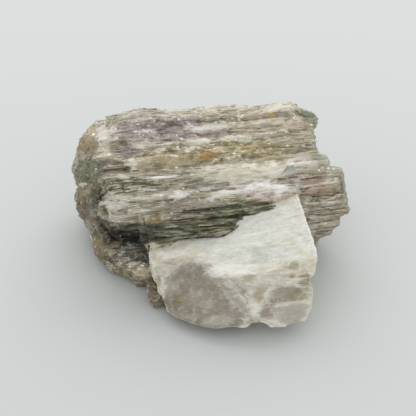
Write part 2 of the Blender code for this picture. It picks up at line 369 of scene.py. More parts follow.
def read(word):
    """A number, a place whose numbers have commas between them, or a plain word."""
    if "," in word:
        return tuple(float(part) for part in word.split(","))
    try:
        return float(word)
    except ValueError:
        return word


def rows(kind, table):
    """Reads a table with one row to a line: a name, a colon and the other values. A backslash
    carries a row on in the next line."""
    made = []
    for line in table.strip().splitlines():
        name, rest = line.split(":")
        values = [read(word) for word in rest.split()]
        if kind in (Seam, Facet):
            fixed = len(kind._fields) - 2
            values[fixed:] = [tuple(values[fixed:])]
        made.append(kind(name.strip(), *values))
    return made


# ---------------------------------------------------------------- colour zones

# How far up the specimen's leaning front a point lies is RISE dotted with its place. Places in
# the tables below are along X and up that slope, in millimetres.
RISE = (0.0, 0.666, 0.746)

# A zone is an ellipse. mica and streak say how flaky and how streaky it is.
Zone = namedtuple("Zone", "name colour fleck along rise half_along half_rise strength mica streak")

# A spot is a small zone that changes the colour alone, and calm is how far it stills the grain.
Spot = namedtuple("Spot", "name colour along rise half_along half_rise strength calm", defaults=(0.0,))

# A seam is a thin crooked line, dark where it is a gap: there the dark is partly painted shade.
Seam = namedtuple("Seam", "name colour width depth strength points")

# A facet is a flat break with straight sides: its corners run anticlockwise, depth is how far
# it is sunk and soft how wide its colour's border is.
Facet = namedtuple("Facet", "name colour depth soft strength corners")

# The recess zones are painted near black: partly the dark tourmaline, partly painted shade in the
# hollow under the ledge.
SHEAF_ZONES = rows(Zone, """
    right body: grey_brown pink_beige 21.3 33.1 15 8.6 0.6 0.08 0.5
    lilac mica: lilac mica_white -14.5 39.8 13.2 4 0.9 0.45 0.25
    mauve core: mauve lilac -8.9 38.4 6.3 2 0.75 0.4 0.3
    mauve patch: mauve pink_beige -24.1 33.9 4.9 1.9 0.75 0.4 0.3
    grey streaks: grey_purple mica_white -30.3 31 3.2 1.4 0.6 0.2 0.4
    pink beige: pink_beige cream 15.7 39 12.1 3.5 0.8 0.3 0.4
    silvery corner: mica_white white -30 39.5 2.6 4 0.85 0.7 0.2
    back rim: cream pink_beige -2.3 44.2 16.7 1.3 0.75 0.3 0.4
    pale knob: cream beige 22.2 42.9 5.2 1.7 0.85 0.2 0.3
    silvery line: mica_white white -0.7 39.2 6.3 1.3 0.8 0.9 0.2
    lilac tail: lilac pink_beige 1.3 36.7 4.9 1.4 0.65 0.3 0.3
    olive brown: olive_brown cream -0.2 31.4 21.6 2.9 0.85 0.3 0.12
    glassy crumbs: olive_brown white -4.2 31.2 5.8 2.3 0.6 0.5 0
    olive yellow: olive_yellow cream 9.5 32.3 4.3 1.7 0.5 0.2 0.15
    olive right: olive_yellow grey_brown 15.6 28.9 5.2 1.6 0.45 0.2 0.2
    cream streak: cream beige -4 34.7 4.6 1 0.85 0.5 0.4
    cream drift: cream beige 7.3 34.9 3.7 1 0.75 0.3 0.2
    left beige: beige olive_brown -18.9 29.7 8.6 1.7 0.75 0.2 0.4
    iron stain: iron_gold dark_olive -2.4 30.4 2.3 1.9 0.95 0.2 0
    grey green: fibre cream -13 25.1 14.4 2 0.6 0.15 0.8
    bluish streaks: blue_grey cream -2.7 22.5 6.9 1.4 0.7 0.2 0.8
    green streaks: moss cream -25.4 24.3 9.5 2.3 0.85 0.05 1
    cream band: cream beige 8.8 24.8 14.4 3 0.9 0.15 0.5
    end plate: mica_white green_grey 25.7 26.2 5.2 2.3 0.75 0.2 0.3
    left white: cream dark_olive -23.4 21.3 9.2 1.3 0.85 0.2 0.9
    white wedge: white grey_purple -11.5 20.2 2.6 1.2 0.9 0.5 0.3
    purple streaks: grey_purple mica_white -15 18.3 8.1 1.3 0.75 0.15 0.6
    cream line: cream green_grey 4.8 19.5 6.9 1 0.85 0.3 0.7
    white vein: white lilac 13.7 20.1 8.1 1.7 0.95 0.5 0.5
    rose patch: rose white 12.9 18 3.5 1.4 0.75 0.1 0.3
    silvery end: mica_white lilac 21.8 20.3 2.6 2 0.8 0.4 0.4
    pink line: rose lilac 27.7 20.9 3.7 1 0.7 0.1 0.9
    pink core: pink_brown rose 28.9 17.9 4.9 1.6 0.9 0.1 0.6
    lower right: warm_grey cream 31.2 11.1 8.1 6.3 0.9 0.1 0.7
    green prism: green_grey dark_green 31 39.2 2.9 2.6 0.9 0.1 0.3
    end green: dark_green green_grey -36 29.5 4.6 3.7 0.9 0.05 0
    end olive: olive_brown tan -35 37.6 3.2 3.2 0.85 0.05 0.2
    end tan: tan beige -37.2 22.5 4 3.7 0.85 0.1 0
    end brown: brown tan -37.1 17.8 3.5 3.2 0.8 0.1 0
    ledge: cream tan -27 17.2 8.6 2.6 0.9 0.1 0.9
    grey purple: grey_purple mica_white -7.5 16.2 8.1 2 0.7 0.1 0.5
    dark face left: dark_olive olive_grey -12.3 9.4 10.1 4.6 0.97 0 1
    dark face: dark_olive olive_grey 3.6 12.9 14.4 4.3 0.97 0 1
    recess: black dark_green -25.6 10.3 8.6 3.5 0.97 0.1 0.35
    recess left: black green_grey -32.2 11.8 4 3.5 0.75 0.1 0.15
    green seam: dark_green black -33.8 20.1 1.6 6.9 0.8 0.1 0.1
    lobe: black cream -26.3 4.7 6.9 3.5 0.8 0.08 0.1
    lobe rind: tan olive_brown -33.8 6.4 2.6 5.2 0.85 0.1 0.1
    lobe edge: tan beige -29 -1.8 6.3 2.6 0.85 0.2 0.1
    lobe beige: beige cream -23.1 -0.5 3.7 1.6 0.8 0.15 0.1
    foot: brown beige -19.9 -7.7 5.5 6 0.95 0.1 0.2
""")

# Spots named glow or sheen are painted light; the four black spots named gap, round the tongue's tip,
# are painted shadow.
SHEAF_SPOTS = rows(Spot, """
    upper mauve: mauve -21.2 41.6 4.9 2 0.5
    pale lilac: mica_white -18.5 35.4 4 0.9 0.6
    pink corner: pink_beige -30.8 34.5 2 1.7 0.8
    rusty line: ochre 2.7 42.9 4.9 0.5 0.55
    lilac rim: lilac -15.6 44.7 4 0.9 0.5
    white patch: white 16.4 39.2 2.6 0.9 0.65 0.5
    white dots: white 21.6 36.7 1.3 0.9 0.6
    pinkish end: rose 26.1 37.2 3.7 1 0.5
    dark end: brown 26.4 30.5 2.6 1.2 0.6
    golden line: ochre -12.8 33 6.3 0.6 0.5
    iron trail: iron 0.9 31.3 2 0.6 0.5
    cream splinter: cream -23.1 29.8 1.4 2 0.85
    golden cream: beige -16.4 31.7 2.6 1.7 0.6
    white thread: white -15.7 25.8 4 0.4 0.95
    pale plate: cream 14.4 25.5 3.5 1.7 0.75 0.8
    white tip: white -1.9 18.5 1 0.7 0.8
    brilliant: white 12.7 21.4 4.3 0.9 0.9
    red line: pink_brown 28.4 21.7 3.7 0.4 0.45
    cream edge: cream 31.6 20.2 3.2 0.7 0.7
    brown core: ochre 32.7 17 1.7 1 0.7
    dark knot: black 24.1 18.4 0.9 0.9 0.6
    dark line: dark_olive 1.8 20.9 5.2 0.4 0.5
    olive tuft: olive_yellow 10 16.8 1.4 0.7 0.6
    green line: dark_green -27.2 22.5 4.6 0.5 0.8
    purple end: grey_purple -35.3 34.1 2.6 1.2 0.6
    gold end: olive_yellow -33.9 42.6 1.7 1.7 0.5
    end cream: beige -36.6 23.6 1.3 0.9 0.7
    ledge tip: tan -33.4 18.6 1 1.7 0.7
    ledge white: white -30.2 19.2 2.6 1.2 0.7
    ledge olive: olive_yellow -22.5 19 3.5 0.5 0.6
    recess glint: grey_purple -23 11.7 2.6 0.9 0.6
    recess ochre: ochre -29.4 7.8 1.4 0.5 0.95 0.4
    crumb white: beige -27.6 3.4 2 0.7 0.6
    lobe gap: black -21 3 1.3 2.6 0.9
    lobe beige low: beige -25.6 0 2.3 0.9 0.6
    ochre spot: ochre -18.8 14.2 1.7 1.3 0.9 0.5
    face rust: grey_purple -11.8 13.5 5.8 0.9 0.5
    foot pit: black -18.9 -3.3 0.9 1.7 0.7
    plate high: cream 2 27.2 5.2 0.7 0.8 0.7
    plate mid: cream 7.6 23.8 4 1.3 0.7 0.6
    plate left: cream -1.6 26.1 2.9 0.9 0.6 0.3
    plate right: mica_white 25 26.6 3.5 1.3 0.8 0.6
    plate low: cream 1.1 19.6 3.7 0.9 0.8 0.6
    rim top: green_grey 30.6 33.3 0.9 4.3 0.9 0.5
    rim middle: pale_rim 31.9 26.3 1.7 2 0.9 0.7
    rim shoulder: pale_rim 35 23.7 2.3 0.9 0.85 0.5
    rim side: green_grey 37.1 19.5 0.9 3.7 0.85 0.5
    rim low: green_grey 38.8 13.4 1.2 2.3 0.7 0.3
    lower pink: rose 25.8 13.1 2.6 0.9 0.3
    lower pale: cream 33.4 8.2 2.9 1.2 0.4
    lower green: green_grey 30.3 5.5 3.5 1.7 0.6
    lower dark: brown 28.8 15.1 3.5 0.9 0.4
    tip rim: pink_beige 18.5 16.6 3.7 1 0.7 0.3
    face gold: olive_yellow 3.8 17.7 5.2 0.5 0.5
    face purple: grey_purple -1.6 16.2 6.3 0.7 0.6
    cream thread: cream -4 34.7 4 0.9 0.75 0.5
    iron dark: dark_olive -1.4 29.5 1.2 0.7 0.6
    iron bright: iron_gold -3 31.7 0.9 0.9 0.9 0.8
    band glow: cream 10.2 25 10.9 2.3 0.5 0.75
    white flecks: white -11 20 2.3 0.9 0.95 0.8
    pale pink: pink_beige 17.5 38.8 7.5 2.6 0.65 0.4
    green slab: green_grey 31.2 39.8 2.9 2.2 0.92 0.5
    rim top wide: green_grey 29.7 33.3 1.2 4.6 0.85 0.5
    rim middle wide: green_grey 31 26.6 1.7 1.7 0.85 0.5
    rim shoulder wide: green_grey 34.3 23.2 2.9 1 0.85 0.5
    rim side wide: green_grey 36.1 19.6 1 4 0.8 0.5
    block dust: cream 28.1 8.2 1.4 3.5 0.55 0.4
    ledge glow: cream -27 18.3 4 1.2 0.7 0.5
    ledge pink: rose -33.9 18.9 0.9 1.4 0.5 0.6
    rose glow: lilac_white 13.8 18 4 1.4 0.55 0.4
    lower sparkle: white 31.9 13.9 2 0.6 0.6
    right cream: cream 39 13.4 0.9 1.7 0.5 0.3
    left bright: cream -23.7 20.9 6.9 1 0.65 0.4
    tongue bright: white -26.2 18.8 4 0.7 0.5 0.4
    pink glow: pink_beige 29.1 20.8 3.5 0.9 0.35 0.3
    core glow: pink_beige 29.5 18.7 3.5 1.2 0.6 0.4
    lilac silver: mica_white -19.7 43.9 5.8 1.2 0.35 0.3
    crevice pale: green_grey -33.4 18 1.4 2.3 0.7 0.2
    purple pale: mica_white -5.8 17.2 6.9 1 0.35 0.5
    rim upper glow: pale_rim 31.4 26.9 2 1.4 0.85 0.8
    mica glow: white -0.1 39.1 4.6 0.7 0.5 0.3
    lobe crumb a: beige -30.8 5.7 1.4 0.7 0.6
    lobe crumb b: cream -25.1 2 1.7 0.6 0.6
    iron spot low: iron_gold -1.6 29.8 1.4 0.9 0.7 0.5
    iron edge: brown -0.4 30.6 0.7 0.6 0.6 0.5
    white crumbs: white -7 33.2 2.6 0.6 0.5 0.4
    white crumbs right: cream 3.9 31.7 2.9 0.6 0.45 0.3
    lower mix: cream 29.3 12.5 4 0.6 0.4 0.2
    face end dark: black -4.8 9.2 4 0.6 0.4
    vein glow: white 15.1 19.9 4 1.2 0.5 0.8
    left cream: cream -21.4 30.2 4.6 0.9 0.4 0.3
    thread glow: white -3.4 35 2.9 0.5 0.5 0.6
    streak glow: cream -24.5 26.8 4.6 0.5 0.5 0.3
    gold fleck: gold -15.3 33.4 1.2 0.4 0.5 0.5
    gold fleck right: gold 0.5 32 0.9 0.4 0.5 0.5
    white knot: white 21.7 26.3 1.3 0.9 0.9 0.6
    grey lilac: lilac 22.4 22.5 3.7 0.9 0.25 0.4
    iron speck: gold 18.9 40.9 1.1 0.7 0.85 1
    rose bright: lilac_white 15.1 19.4 2.9 0.9 0.5 0.6
    flecks bright: white -10.7 19.9 2.6 0.9 0.45 0.6
    core pale: pink_beige 29.5 18.7 3.7 1.2 0.4 0.6
    pink bright: cream 18 38.5 4.3 1.7 0.25 0.6
    lilac sheen: mica_white -10.7 38 3.7 1.4 0.2 0.3
    end grey: pink_beige -34.6 38.5 1.4 1.7 0.25 0.2
    lobe sheen: grey_purple -26.9 4.7 2.9 1.4 0.3
    corner dust: feldspar_cream -19.3 6.6 1.7 1.3 0.85 0.7
    tongue tip: white -32.1 20.1 1.4 0.5 0.9 0.8
    tip column: pink_beige -33.3 18 0.7 1.7 0.75 0.6
    tip gap: black -31.8 18.2 0.4 1.4 0.7
    gap left: black -34.8 19.5 0.5 0.9 0.6
    gap low: black -33.9 15.9 1 0.6 0.6
    gap high: black -32.9 21.9 0.7 0.5 0.6
    white chip: cream -29.7 22.6 1 0.5 0.8 0.6
    white chip left: cream -37.2 25.9 1.2 0.6 0.7 0.7
    corner dust low: feldspar_cream -19.1 4.5 1.4 1.4 0.95 1
    rose core: rose 12.7 17.8 1.4 0.7 0.45
""")

SHEAF_SEAMS = rows(Seam, """
    tongue gap: dark_olive 0.6 0.7 0.75 -29.3,23.8 -31.5,22.7 -33.1,21.5 -34.4,19.6 -34.3,17.6 \
        -33.6,15.5 -31.8,13.9
    tongue shade: dark_olive 0.5 0.3 0.7 -32.1,19.6 -31.8,17.6 -30.8,15.8
    tongue line: dark_olive 0.4 0.3 0.6 -29.9,16.9 -26.2,17.9 -22,18.5
    band line: dark_olive 0.3 0.2 0.55 -9.5,22.6 -4.7,20.8 2.3,20.6 6.9,20.6
    white line: white 0.45 0 0.9 -22.1,22.9 -17.1,22.3
    white plate edge: white 0.9 0 0.9 -2,18.5 0.5,19.5 5.6,20
    pale vein: mica_white 0.9 0 0.7 -2.3,21.3 2.8,22.2 7.1,20.7
    bright vein: white 1.3 0 0.9 8.2,20.1 11.5,21.6 14.5,21.2 17.9,19.7 16.7,18.2
    face line a: black 0.45 0.5 0.7 -7.3,15.6 -3,15.5 1,15.8
    face line b: black 0.45 0.5 0.75 -11.8,13.5 -5.6,13.2 0.1,12.9 6.4,12.9
    face line c: black 0.45 0.5 0.75 -15.5,11.1 -10.7,10.7 -5.9,10.7 -1.4,10.8 3.4,11.2
    face line d: black 0.45 0.5 0.7 -18.7,9.1 -14.3,8.8 -8.9,9 -3.7,9.5
    face pale: blue_grey 0.5 0 0.6 -14.7,12.6 -11.2,11.2 -6,9.6
    face pale b: olive_grey 0.4 0 0.8 -5.5,14.6 0.8,14.3 7.5,14.8
    red line a: brown 0.35 0.3 0.6 24,21.5 27.2,21.7 31.2,21.7 34.7,21.4
    red line b: black 0.4 0.4 0.5 23.1,18.4 24.4,18.9 26.6,19.3 30.2,19.1
    right line c: dark_olive 0.4 0.3 0.6 23.4,17.3 28.1,16.3 32.4,16.2 34.8,17.1
    right line d: dark_olive 0.3 0.2 0.4 25.7,15.6 29.4,14.7 33.2,14.7
    right line e: dark_olive 0.45 0.3 0.6 24,13.8 28,13.7 32.1,13.1 35.6,13.3
    right line f: dark_olive 0.4 0.3 0.5 25.4,11.8 30.2,10.6 35.5,10.7
    right line g: dark_olive 0.35 0.2 0.45 25.8,9.8 29.1,9 33.8,8.8
    right pale: cream 0.6 0 0.7 24.6,14.6 28.9,14.1 33.5,15.4
    right pale low: cream 0.6 0 0.5 26.9,10.4 30.8,9.7 34.6,9.6
    end tan line: tan 0.8 0 0.8 35.6,21.3 35.9,18.5 35.5,15.3
    lilac line: brown 0.35 0.3 0.5 -17.1,37.4 -12.1,36 -7.3,35.3
    brown line: dark_olive 0.4 0.4 0.6 -31,28.9 -25.9,28.7 -21.1,27.8
    green line b: dark_green 0.4 0.4 0.7 -31.6,26.3 -26.9,25.6 -21.4,24.4 -15.9,23.7
    green line c: dark_green 0.4 0.4 0.7 -29.6,20.5 -25.8,19.7 -21.7,19.2
    crumb line: dark_olive 0.4 0.4 0.6 -32.5,24.2 -33.6,22.1 -34.8,20.7
    left dark line: black 0.5 0.5 0.7 -33.3,14.5 -31.8,12.1 -30.4,9.6 -29,8.6
    pink white: cream 0.45 0 0.7 24.5,19.5 27.5,19.6 31.4,20.1
    pink white high: cream 0.35 0 0.6 24.4,22 28.7,22 33.9,21.8
    blue edge: dark_olive 0.3 0.2 0.6 18.4,23.7 20.4,25.5 22.2,25.6
    edge dust: feldspar_cream 0.7 0 0.95 -19.3,6.4 -14,6.5 -8.9,7 -4.6,7.4
""")


SHEAF_FACETS = rows(Facet, """
    bluish face: slate 0 0.5 0.9 22.4,23.5 22.7,24.2 22.2,25.6 20.4,25.5 18.1,23.7
""")


# Borders wander with a noise of this size, by this much at most, in millimetres.
DRIFT_SIZE = (7.0, 1.6, 1.6)
DRIFT_REACH = (9.0, 4.2, 4.2)
SPOT_RAGGEDNESS = 0.5
SEAM_RAGGEDNESS = 0.3


def swatch(name):
    return tuple(getattr(settings().palette, name))


def on_slope(graph, place, raggedness=1.0):
    """How far along and up the slope a point lies, as X and Y of a vector, with ragged borders."""
    drift = graph.noise(place, DRIFT_SIZE, 3.0, 0.6, output=1)
    drift = graph.vector("SUBTRACT", drift, (0.5, 0.5, 0.5))
    reach = tuple(size * raggedness for size in DRIFT_REACH)
    warped = graph.vector("MULTIPLY_ADD", drift, reach, place)
    along = graph.vector("DOT_PRODUCT", warped, (1.0, 0.0, 0.0), output=1)
    rise = graph.vector("DOT_PRODUCT", warped, RISE, output=1)
    return graph.node("ShaderNodeCombineXYZ", {}, (along, rise))


def inside(graph, slope, zone):
    """How much a point belongs to the zone, up to the zone's strength."""
    away = graph.away(slope, (zone.along, zone.rise, 0.0), (zone.half_along, zone.half_rise, 1.0))
    return away.ramp(1.25, 0.75, 0.0, zone.strength)


def on_seam(graph, slope, breaks, seam):
    """How much a point lies on the seam's line, from 0 to 1, with gaps where breaks is low."""
    off = None
    for (x0, y0), (x1, y1) in zip(seam.points, seam.points[1:]):
        run = (x1 - x0, y1 - y0, 0.0)
        reach = graph.vector("SUBTRACT", slope, (x0, y0, 0.0))
        share = graph.vector("DOT_PRODUCT", reach, run, output=1) / (run[0] ** 2 + run[1] ** 2)
        foot = graph.scaled(run, share.most(0.0).least(1.0))
        here = graph.vector("DISTANCE", reach, foot, output=1)
        off = here if off is None else off.least(here)
    return off.ramp(seam.width, seam.width * 0.3) * breaks


def facet_reach(graph, slope, facet):
    """How far inside the facet's nearest side a point lies, in millimetres, negative outside."""
    reach = None
    for (x0, y0), (x1, y1) in zip(facet.corners, facet.corners[1:] + facet.corners[:1]):
        side = math.hypot(x1 - x0, y1 - y0)
        inward = (-(y1 - y0) / side, (x1 - x0) / side, 0.0)
        start = x0 * inward[0] + y0 * inward[1]
        from_side = graph.vector("DOT_PRODUCT", slope, inward, output=1) - start
        reach = from_side if reach is None else reach.least(from_side)
    return reach


def seam_breaks(graph, place):
    """Where a seam can be seen, from 0 to 1."""
    return graph.noise(place, (2.2, 0.9, 0.9), 2.0, 0.6, 5.7).ramp(0.36, 0.54)


def zone_mixes(graph, place):
    """How streaky and how flaky the sheaf is at a place."""
    slope = on_slope(graph, place)
    streak, mica = 0.5, 0.25
    for zone in SHEAF_ZONES:
        mask = inside(graph, slope, zone)
        streak = graph.mix(mask, streak, zone.streak)
        mica = graph.mix(mask, mica, zone.mica)
    return streak, mica


def zone_colours(graph, place):
    """The sheaf's colour and its flecks' colour at a place."""
    slope = on_slope(graph, place)
    colour, fleck = swatch("fibre"), swatch("cream")
    for zone in SHEAF_ZONES:
        mask = inside(graph, slope, zone)
        colour = graph.tint(mask, colour, swatch(zone.colour))
        fleck = graph.tint(mask, fleck, swatch(zone.fleck))
    return colour, fleck


def spot_colours(graph, place, colour):
    """The colour with the sheaf's spots and facets laid over it, and how lively its grain is."""
    slope = on_slope(graph, place, SPOT_RAGGEDNESS)
    lively = 1.0
    for spot in SHEAF_SPOTS:
        mask = inside(graph, slope, spot)
        colour = graph.tint(mask, colour, swatch(spot.colour))
        if spot.calm:
            lively = graph.mix(mask, lively, 1 - spot.calm)
    slope = on_slope(graph, place, SEAM_RAGGEDNESS)
    for facet in SHEAF_FACETS:
        reach = facet_reach(graph, slope, facet)
        mask = reach.ramp(-facet.soft / 2, facet.soft / 2, 0.0, facet.strength)
        colour = graph.tint(mask, colour, swatch(facet.colour))
        lively = graph.mix(mask, lively, 0.3)
    return colour, lively


def seam_colours(graph, place, colour, seams=SHEAF_SEAMS):
    """The colour with the seams laid over it."""
    slope = on_slope(graph, place, SEAM_RAGGEDNESS)
    breaks = seam_breaks(graph, place)
    for seam in seams:
        mask = on_seam(graph, slope, breaks, seam) * seam.strength
        colour = graph.tint(mask, colour, swatch(seam.colour))
    return (colour,)


def seam_depths(graph, place):
    """How deep the sheaf's seams lie at a place, in millimetres."""
    slope = on_slope(graph, place, SEAM_RAGGEDNESS)
    breaks = seam_breaks(graph, place)
    depth = 0.0
    for seam in SHEAF_SEAMS:
        if seam.depth:
            depth = (on_seam(graph, slope, breaks, seam) * seam.depth).most(depth)
    return (depth,)


# ---------------------------------------------------------------- meshes


def activate(piece):
    """Selects one object alone, and makes it active."""
    bpy.ops.object.select_all(action="DESELECT")
    piece.select_set(True)
    bpy.context.view_layer.objects.active = piece


def linked(name, mesh):
    piece = bpy.data.objects.new(name, mesh)
    bpy.context.scene.collection.objects.link(piece)
    activate(piece)
    return piece


def merged_copy(node, name):
    """A piece that starts as a CAD node's mesh, with its loose triangles joined."""
    piece = linked(name, frame["nodes"][node].data.copy())
    piece.data.materials.clear()
    bpy.ops.object.mode_set(mode="EDIT")
    bpy.ops.mesh.select_all(action="SELECT")
    bpy.ops.mesh.remove_doubles(threshold=1e-6)
    bpy.ops.mesh.customdata_custom_splitnormals_clear()
    bpy.ops.object.mode_set(mode="OBJECT")
    return piece


def apply_modifier(piece, kind, **settings):
    activate(piece)
    modifier = piece.modifiers.new(kind.title(), kind)
    for name, value in settings.items():
        setattr(modifier, name, value)
    bpy.ops.object.modifier_apply(modifier=modifier.name)


def stretch_along(piece, factor):
    """Stretches a piece's mesh along X, about the origin."""
    activate(piece)
    bpy.ops.object.mode_set(mode="EDIT")
    bpy.ops.mesh.select_all(action="SELECT")
    bpy.ops.transform.resize(value=(factor, 1.0, 1.0), center_override=(0.0, 0.0, 0.0))
    bpy.ops.object.mode_set(mode="OBJECT")


def geometry_graph(name):
    """A new geometry node tree, and its incoming geometry."""
    tree = bpy.data.node_groups.new(name, "GeometryNodeTree")
    for way in ("INPUT", "OUTPUT"):
        tree.interface.new_socket("Geometry", in_out=way, socket_type="NodeSocketGeometry")
    graph = Graph(tree)
    return graph, graph.node("NodeGroupInput")


def apply_graph(piece, graph, result):
    graph.node("NodeGroupOutput", {}, (result,))
    apply_modifier(piece, "NODES", node_group=graph.tree)


def store(graph, geometry, name, value, **kinds):
    """Stores a named attribute on a geometry."""
    values = {"Geometry": geometry, "Name": name, "Value": value}
    return graph.node("GeometryNodeStoreNamedAttribute", kinds, values)


def blurred(graph, value, passes):
    """A vector averaged over the points around, again and again."""
    settings = {"data_type": "FLOAT_VECTOR"}
    return graph.node("GeometryNodeBlurAttribute", settings, {"Value": value, "Iterations": passes})


def split(graph, vector):
    """The three parts of a vector."""
    parts = graph.node("ShaderNodeSeparateXYZ", {}, (vector,)).socket.node.outputs
    return [Value(graph, part) for part in parts]


# A form is pushed or pulled as clay is: what lies within its reach of its place is shifted, in
# full at the place and ever less outwards. All three are in millimetres.
Form = namedtuple("Form", "name place reach shift")


def push_out(graph, mesh, height, forms):
    """Moves each point along its normal by height, and with the forms, but not into the floor."""
    place = graph.place()
    offset = graph.scaled(graph.node("GeometryNodeInputNormal"), height)
    for form in forms:
        share = graph.away(place, form.place, form.reach).ramp(1.0, 0.0)
        offset = graph.vector("ADD", offset, graph.scaled(form.shift, share))
    x, y, z = split(graph, graph.vector("ADD", place, offset))
    position = graph.scaled(graph.node("ShaderNodeCombineXYZ", {}, (x, y, z.most(0.0))), MM)
    return graph.node("GeometryNodeSetPosition", {}, {0: mesh, 2: position})


def finish_piece(piece, material):
    """Gives a finished piece its material and its CAD body."""
    piece.data.materials.clear()
    piece.data.materials.append(material)
    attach(piece, "root")


# ---------------------------------------------------------------- materials

# How deep the shading's bumps are, in millimetres.
BUMP_REACH = 0.5


def new_material(name):
    """A new material, its graph and its shader."""
    material = bpy.data.materials.new(name)
    material.use_nodes = True
    return material, Graph(material.node_tree), material.node_tree.nodes["Principled BSDF"]


def link_bump(graph, shader, height, strength):
    """Roughens the shading by a height from 0 to 1."""
    values = {"Strength": strength, "Distance": BUMP_REACH * MM, "Height": height}
    bump = graph.node("ShaderNodeBump", {}, values)
    graph.tree.links.new(bump.socket, shader.inputs["Normal"])


# ---------------------------------------------------------------- tourmaline

# What a colour is multiplied by where it is pinker or greener, and where it is darker: in its dark
# grain, and as painted shade in its hollows.
PINKER = (1.1, 0.94, 0.93)
GREENER = (0.96, 0.98, 0.87)
TOURMALINE_SHADE = (0.34, 0.32, 0.26)
CRUMB_SIZE = (1.5, 1.0, 1.0)
CRUMB_OFFSET = 5.3
HOLLOW_PASSES = 12
SMOOTH_ANGLE = math.radians(50)

# Where the sheaf is smoothed once more, as soften takes it: at both ends, and at the slab in
# its top right corner.
SOFT_ENDS = ((0.0, 0.0, 20.0), (32.0, 1000.0, 1000.0), 0.8, 1.0, 24)
SOFT_SLAB = ((30.5, 21.5, 35.5), (7.0, 6.0, 6.0), 1.2, 0.6, 70)

SHEAF_FORMS = rows(Form, """
    low back corner: 33,22,38 8,10,9 1.2,-2.2,-2.6
    left shoulder: -36.5,26,31 8,12,11 -1.1,0.5,1.1
    lilac brow: -18,24,39 10,9,7 0,0.7,1.2
    back dip: 12,22,39 11,9,7 0,-0.5,-0.9
    left cheek: -38.5,18,12 6,13,6 -1.3,0,0
    lobe side: -34,-2,8 8,10,10 1.4,0.4,0.5
    right tip: 39,-1,15.5 3.5,6,5 -1,0,0.6
    right notch: 34.5,-1,9.5 3.5,6,4.5 1.2,0,-0.4
    right shoulder: 36,3,29 5,6,5 0.3,0,0.9
    foot edge: -22,-11,3 5,5,4 0.6,0.8,0.4
    upper crevice: -32.6,3.4,25.6 2.2,6,6 0,1.3,-1.3
    lower crevice: -32,-0.5,21.5 2.2,5,7 0.3,1.6,-1
    corner under the feldspar: -18,-9.3,16.2 5,4,3.5 0,1.6,-1.6
    seam by the feldspar tip: 19.5,-2.6,25.3 8,5,3.5 0,-1.8,0.1
    top right corner: 28.5,22.5,38 3.5,7,5 0,0,-1.1
    face foot left: -9,-10.3,18.5 14,4,3.5 0,1.5,0
    face foot right: 6,-9,22.3 6,4,3.5 0,2,0
    slab corner: 33.8,20.7,34 3.5,5,4.5 0.4,0,3.3
    lobe corner: -30,-6,5 8,7,7 0.7,0.3,0.2
    left hollow: -35.5,3,11 5,6,6 0.8,0.3,0
    recess roof: -27.5,-2,17.5 8,4,2.5 0,-0.8,0.6
""")


def along_fibres(graph, place):
    """The place, swaying a little across the crystals' line as their fibres do."""
    sway = graph.noise(place, (26.0, 9.0, 9.0), 1.0, output=1)
    return graph.vector("MULTIPLY_ADD", sway, (0.0, 3.2, 3.2), place)


def splinter_size(own):
    return own.splinter_length / MM, own.splinter_width / MM, own.splinter_width / MM


def sheaf_relief(graph, place, own):
    """Height of the splinters, fibres, lumps and grains over the smooth skin, in millimetres."""
    swayed = along_fibres(graph, place)
    level = graph.cell_chance(swayed, splinter_size(own))
    groove = graph.cells(swayed, splinter_size(own), "DISTANCE_TO_EDGE").ramp(0.14, 0.0)
    splinters = (level - 0.6) * (own.splinter_height / MM) - groove * (own.groove_depth / MM)
    ribs = (graph.noise(swayed, (13.0, 1.6, 1.6), 2.0, 0.5, 6.6) - 0.5) * (own.rib_height / MM * 2)
    fibres = (graph.noise(swayed, (7.0, 0.5, 0.5), 3.0, 0.6) - 0.5) * (own.fibre_height / MM * 2)
    knolls = (graph.noise(place, (7.0, 3.0, 3.0), 2.0, 0.5, 8.1) - 0.5) * (own.knoll_height / MM * 2)
    lumps = (graph.noise(place, (2.8, 1.7, 1.7), 4.0, 0.6, 2.2) - 0.5) * (own.lump_height / MM * 2)
    crumbs = (0.45 - graph.cells(place, CRUMB_SIZE, offset=CRUMB_OFFSET)) * (own.crumb_height / MM)
    streak, mica = grouped(graph, zone_mixes, [("vector", place)], ["number", "number"])
    (gaps,) = grouped(graph, seam_depths, [("vector", place)], ["number"])
    along = (splinters + ribs + fibres) * (streak * 0.8 + 0.2)
    rough = (lumps + crumbs) * (1 - streak * 0.8)
    return along + rough + knolls - gaps


def mica_cluster(graph, place):
    """Where mica lies thickest, from 0 to 1."""
    return graph.noise(place, (6.0, 2.4, 2.4), 3.0, 0.6, 4.2).ramp(0.5, 0.62)


def soften(piece, middle, reach, low, high, passes):
    """Smooths a mesh, ever more as the distance from the middle goes from low to high reaches."""
    graph, mesh = geometry_graph("soften")
    here = graph.node("GeometryNodeInputPosition")
    around = blurred(graph, here, passes)
    share = graph.away(graph.place(), middle, reach).ramp(low, high)
    position = graph.node("ShaderNodeMix", {"data_type": "VECTOR"}, {0: share, 4: here, 5: around}, 1)
    apply_graph(piece, graph, graph.node("GeometryNodeSetPosition", {}, {0: mesh, 2: position}))


def store_hollows(piece, passes):
    """Stores how far each point stands over those around it, in millimetres, and its facing."""
    graph, mesh = geometry_graph("hollows")
    here = graph.node("GeometryNodeInputPosition")
    normal = graph.node("GeometryNodeInputNormal")
    around = blurred(graph, here, passes)
    facing = blurred(graph, normal, passes // 2)
    stand = graph.vector("DOT_PRODUCT", graph.vector("SUBTRACT", here, around), normal, output=1) / MM
    stored = store(graph, mesh, "stand", stand)
    apply_graph(piece, graph, store(graph, stored, "facing", facing, data_type="FLOAT_VECTOR"))


